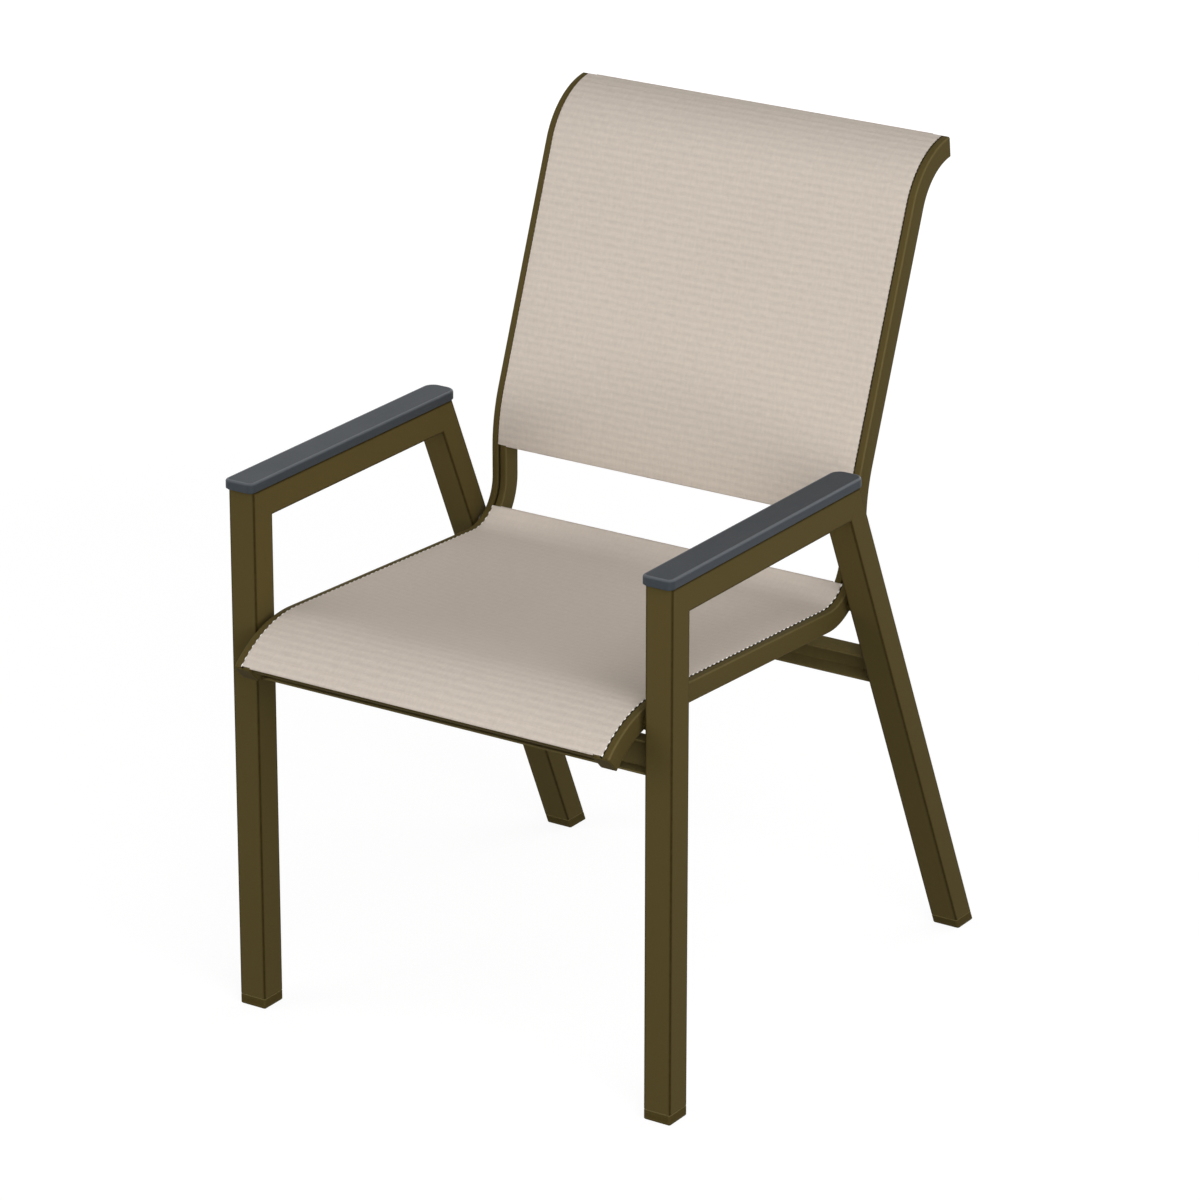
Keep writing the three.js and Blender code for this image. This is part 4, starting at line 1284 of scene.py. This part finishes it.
def hem(name, kind, line, edge, inward):
    """Cloth turned under one end of a sling: a rounded fold and a flat strip beneath."""
    sizes = chair().sling
    half = sizes.thickness / 2
    centre = sizes.lift - half - 0.03 * MM
    outer = sizes.lift + half - centre
    inner = outer - sizes.thickness
    low, high = centre - outer, centre - outer + 2 * half
    profile = [(-outer * math.sin(a), centre + outer * math.cos(a)) for a in np.linspace(0.12, math.pi, 9)]
    profile += [(sizes.hem * t, low) for t in (0.25, 0.5, 0.75, 1)]
    profile += [(sizes.hem + 0.25 * MM, low + half), (sizes.hem, high)]
    profile += [(sizes.hem * t, high) for t in (0.75, 0.5, 0.25)]
    profile += [(-inner * math.sin(a), centre + inner * math.cos(a)) for a in np.linspace(math.pi, 0.12, 5)]
    across = np.linspace(-RAIL_INNER + 0.4 * MM, RAIL_INNER - 0.4 * MM, 25)
    rings = [[line.point(edge + inward * p, x, h) for p, h in profile] for x in across]
    made = piece(name, closed([(ring, 0.0) for ring in rings]), kind)
    unrolled(made.data, [(x, edge + inward * p) for x in across for p, _ in profile])
    return made


def side_seams(line, span):
    """Paths of the side stitches, on the outboard side of the cloth's fold into each rail's slot."""
    sizes = chair().sling
    out = sizes.fold + sizes.thickness / 2 - 0.08 * MM
    across = RAIL_X + sizes.edge_place - sizes.fold + out * math.cos(sizes.seam_turn)
    height = sizes.lift - sizes.fold + out * math.sin(sizes.seam_turn)
    along = line.stations(span[0] + 2 * MM, span[1] - 2 * MM, 12 * MM)
    return [[line.point(s, side * across, height) for s in along] for _, side in SIDES]


def hem_seams(line, span):
    """Paths of the finer stitches across each hem."""
    sizes = chair().sling
    height = sizes.lift + sizes.thickness / 2 - 0.05 * MM
    across = np.linspace(-RAIL_INNER + 2 * MM, RAIL_INNER - 2 * MM, 30)
    return [[line.point(s, x, height) for x in across] for s in (span[0] + sizes.seam, span[1] - sizes.seam)]


def sling(part, line, span, side_thread, radius, seed, bar):
    """One sling with its hems and stitches, stretched between the rails and over a spreader bar."""
    sizes, name = chair().sling, f"{part}_cloth"
    made, pins, flat_size = cloth_grid(name, line, span, getattr(sizes, f"{part}_sag"))
    settle(made, pins)
    thickened(made, sizes.thickness)
    placed(made, name, f"{part}_sling")
    hems = [hem(f"{name}_hem_low", name, line, span[0], 1), hem(f"{name}_hem_high", name, line, span[1], -1)]
    pitch = getattr(sizes, f"{part}_pitch")
    beside = bead_rows(f"{name}_side_stitches", side_seams(line, span), side_thread, pitch,
                       pitch * sizes.stitch_share, radius, seed)
    across = bead_rows(f"{name}_hem_stitches", hem_seams(line, span), "hem_thread", sizes.hem_pitch,
                       sizes.hem_stitch, sizes.hem_radius, seed + 1)


class CHAIR_OT_slings(bpy.types.Operator):
    """Weaves, stretches, hems and stitches the seat sling and the back sling."""

    bl_idname = "chair.slings"
    bl_label = "Slings"

    def execute(self, context):
        line, sizes = rail_line(), chair().sling
        seat, back = sling_spans(line)
        sling("seat", line, seat, "thread", sizes.stitch_radius, 11, "seat_front_spreader")
        sling("back", line, back, "hem_thread", sizes.hem_radius, 12, "back_upper_spreader")
        return {"FINISHED"}


class CHAIR_OT_splines(bpy.types.Operator):
    """Finishes the splines that hold the slings in the rails."""

    bl_idname = "chair.splines"
    bl_label = "Splines"

    def execute(self, context):
        for side_name, _ in SIDES:
            for part in ("seat", "back"):
                painted(frame["nodes"][f"{part}_spline_{side_name}"], "spline")
        return {"FINISHED"}


# Stage

# Name, azimuth and elevation in degrees, and level
LAMPS = (("key", 50, 5, 0.72), ("top", 50, 42, 0.33), ("fill", -45, 14, 0.41), ("high", 140, 35, 0.20),
         ("rear", 180, 12, 0.20), ("side", -120, 15, 0.12))


def soft_lamp(name, azimuth, elevation, level, distance=4.5, reach=3.4):
    """A large soft lamp far off; at level 1 a face turned to it shows its colour as written."""
    turn, rise = math.radians(azimuth), math.radians(elevation)
    way = Vector((math.sin(turn) * math.cos(rise), -math.cos(turn) * math.cos(rise), math.sin(rise)))
    lamp = bpy.data.lights.new(name, "AREA")
    fitted(lamp, shape="SQUARE", size=reach, energy=level * (math.pi * distance) ** 2)
    made = added(name, lamp)
    made.location = way * distance + Vector((0, 0, 0.5))
    made.rotation_euler = way.to_track_quat("Z", "Y").to_euler()


def studio_world(ambient):
    """Soft light all round; the camera, reflections and see-through parts meet plain white."""
    world = bpy.data.worlds.new("studio")
    world.use_nodes = True
    g = Graph(world.node_tree)
    soft, plain = (g.node("ShaderNodeBackground", {"Color": WHITE, "Strength": s}) for s in (ambient, 1.0))
    mixed = g.node("ShaderNodeMixShader", {0: g.seen(), 1: soft, 2: plain})
    g.node("ShaderNodeOutputWorld", {"Surface": mixed})
    bpy.context.scene.world = world


class CHAIR_OT_stage(bpy.types.Operator):
    """Sets the floor, the soft studio light and the camera."""

    bl_idname = "chair.stage"
    bl_label = "Stage"

    def execute(self, context):
        stage, far = chair().stage, 40.0
        corners = [(-far, -far, 0), (far, -far, 0), (far, far, 0), (-far, far, 0)]
        floor = added("floor", mesh_of("floor", corners, faces=[(0, 1, 2, 3)]))
        floor.data.materials.append(studio_floor("studio_floor", stage.floor_tone, stage.floor_glow))
        studio_world(stage.ambient)
        for lamp in LAMPS:
            soft_lamp(*lamp)
        camera = bpy.data.cameras.new("camera")
        fitted(camera, lens=stage.lens, sensor_width=36.0, shift_x=stage.shift_x, shift_y=stage.shift_y)
        made = added("camera", camera)
        made.location = Vector(stage.place) + Vector((0, LEG_FRONT, 0))
        made.rotation_euler = Euler((QUARTER - stage.elevation, 0, stage.azimuth))
        context.scene.camera = made
        context.scene.view_settings.view_transform = "Standard"
        return {"FINISHED"}


STEPS = (
    CHAIR_OT_side_frames, CHAIR_OT_foot_glides, CHAIR_OT_arm_caps, CHAIR_OT_crossbars, CHAIR_OT_sling_rails,
    CHAIR_OT_spreader_bars, CHAIR_OT_fixings, CHAIR_OT_slings, CHAIR_OT_splines, CHAIR_OT_stage,
)


class CHAIR_PT_panel(bpy.types.Panel):
    """Lists the chair's building steps and sizes."""

    bl_idname = "CHAIR_PT_panel"
    bl_label = "Patio Chair"
    bl_space_type = "VIEW_3D"
    bl_region_type = "UI"
    bl_category = "Patio Chair"

    def draw(self, context):
        for step in STEPS:
            self.layout.operator(step.bl_idname)
        for group in ("body", "rail", "sling", "look", "stage"):
            settings = getattr(context.scene.patio_chair, group)
            rows = self.layout.box()
            for key in settings.__annotations__:
                rows.prop(settings, key)


CLASSES = (
    PatioFrameSizes, PatioRailSizes, PatioSlingSizes, PatioFinishes, PatioStage, PatioChair,
    *STEPS, CHAIR_PT_panel,
)


def register():
    for kind in CLASSES:
        bpy.utils.register_class(kind)
    bpy.types.Scene.patio_chair = bpy.props.PointerProperty(type=PatioChair)


def unregister():
    del bpy.types.Scene.patio_chair
    for kind in reversed(CLASSES):
        bpy.utils.unregister_class(kind)


def main():
    register()
    for step in STEPS:
        group, name = step.bl_idname.split(".")
        getattr(getattr(bpy.ops, group), name)()


if __name__ == "__main__":
    main()
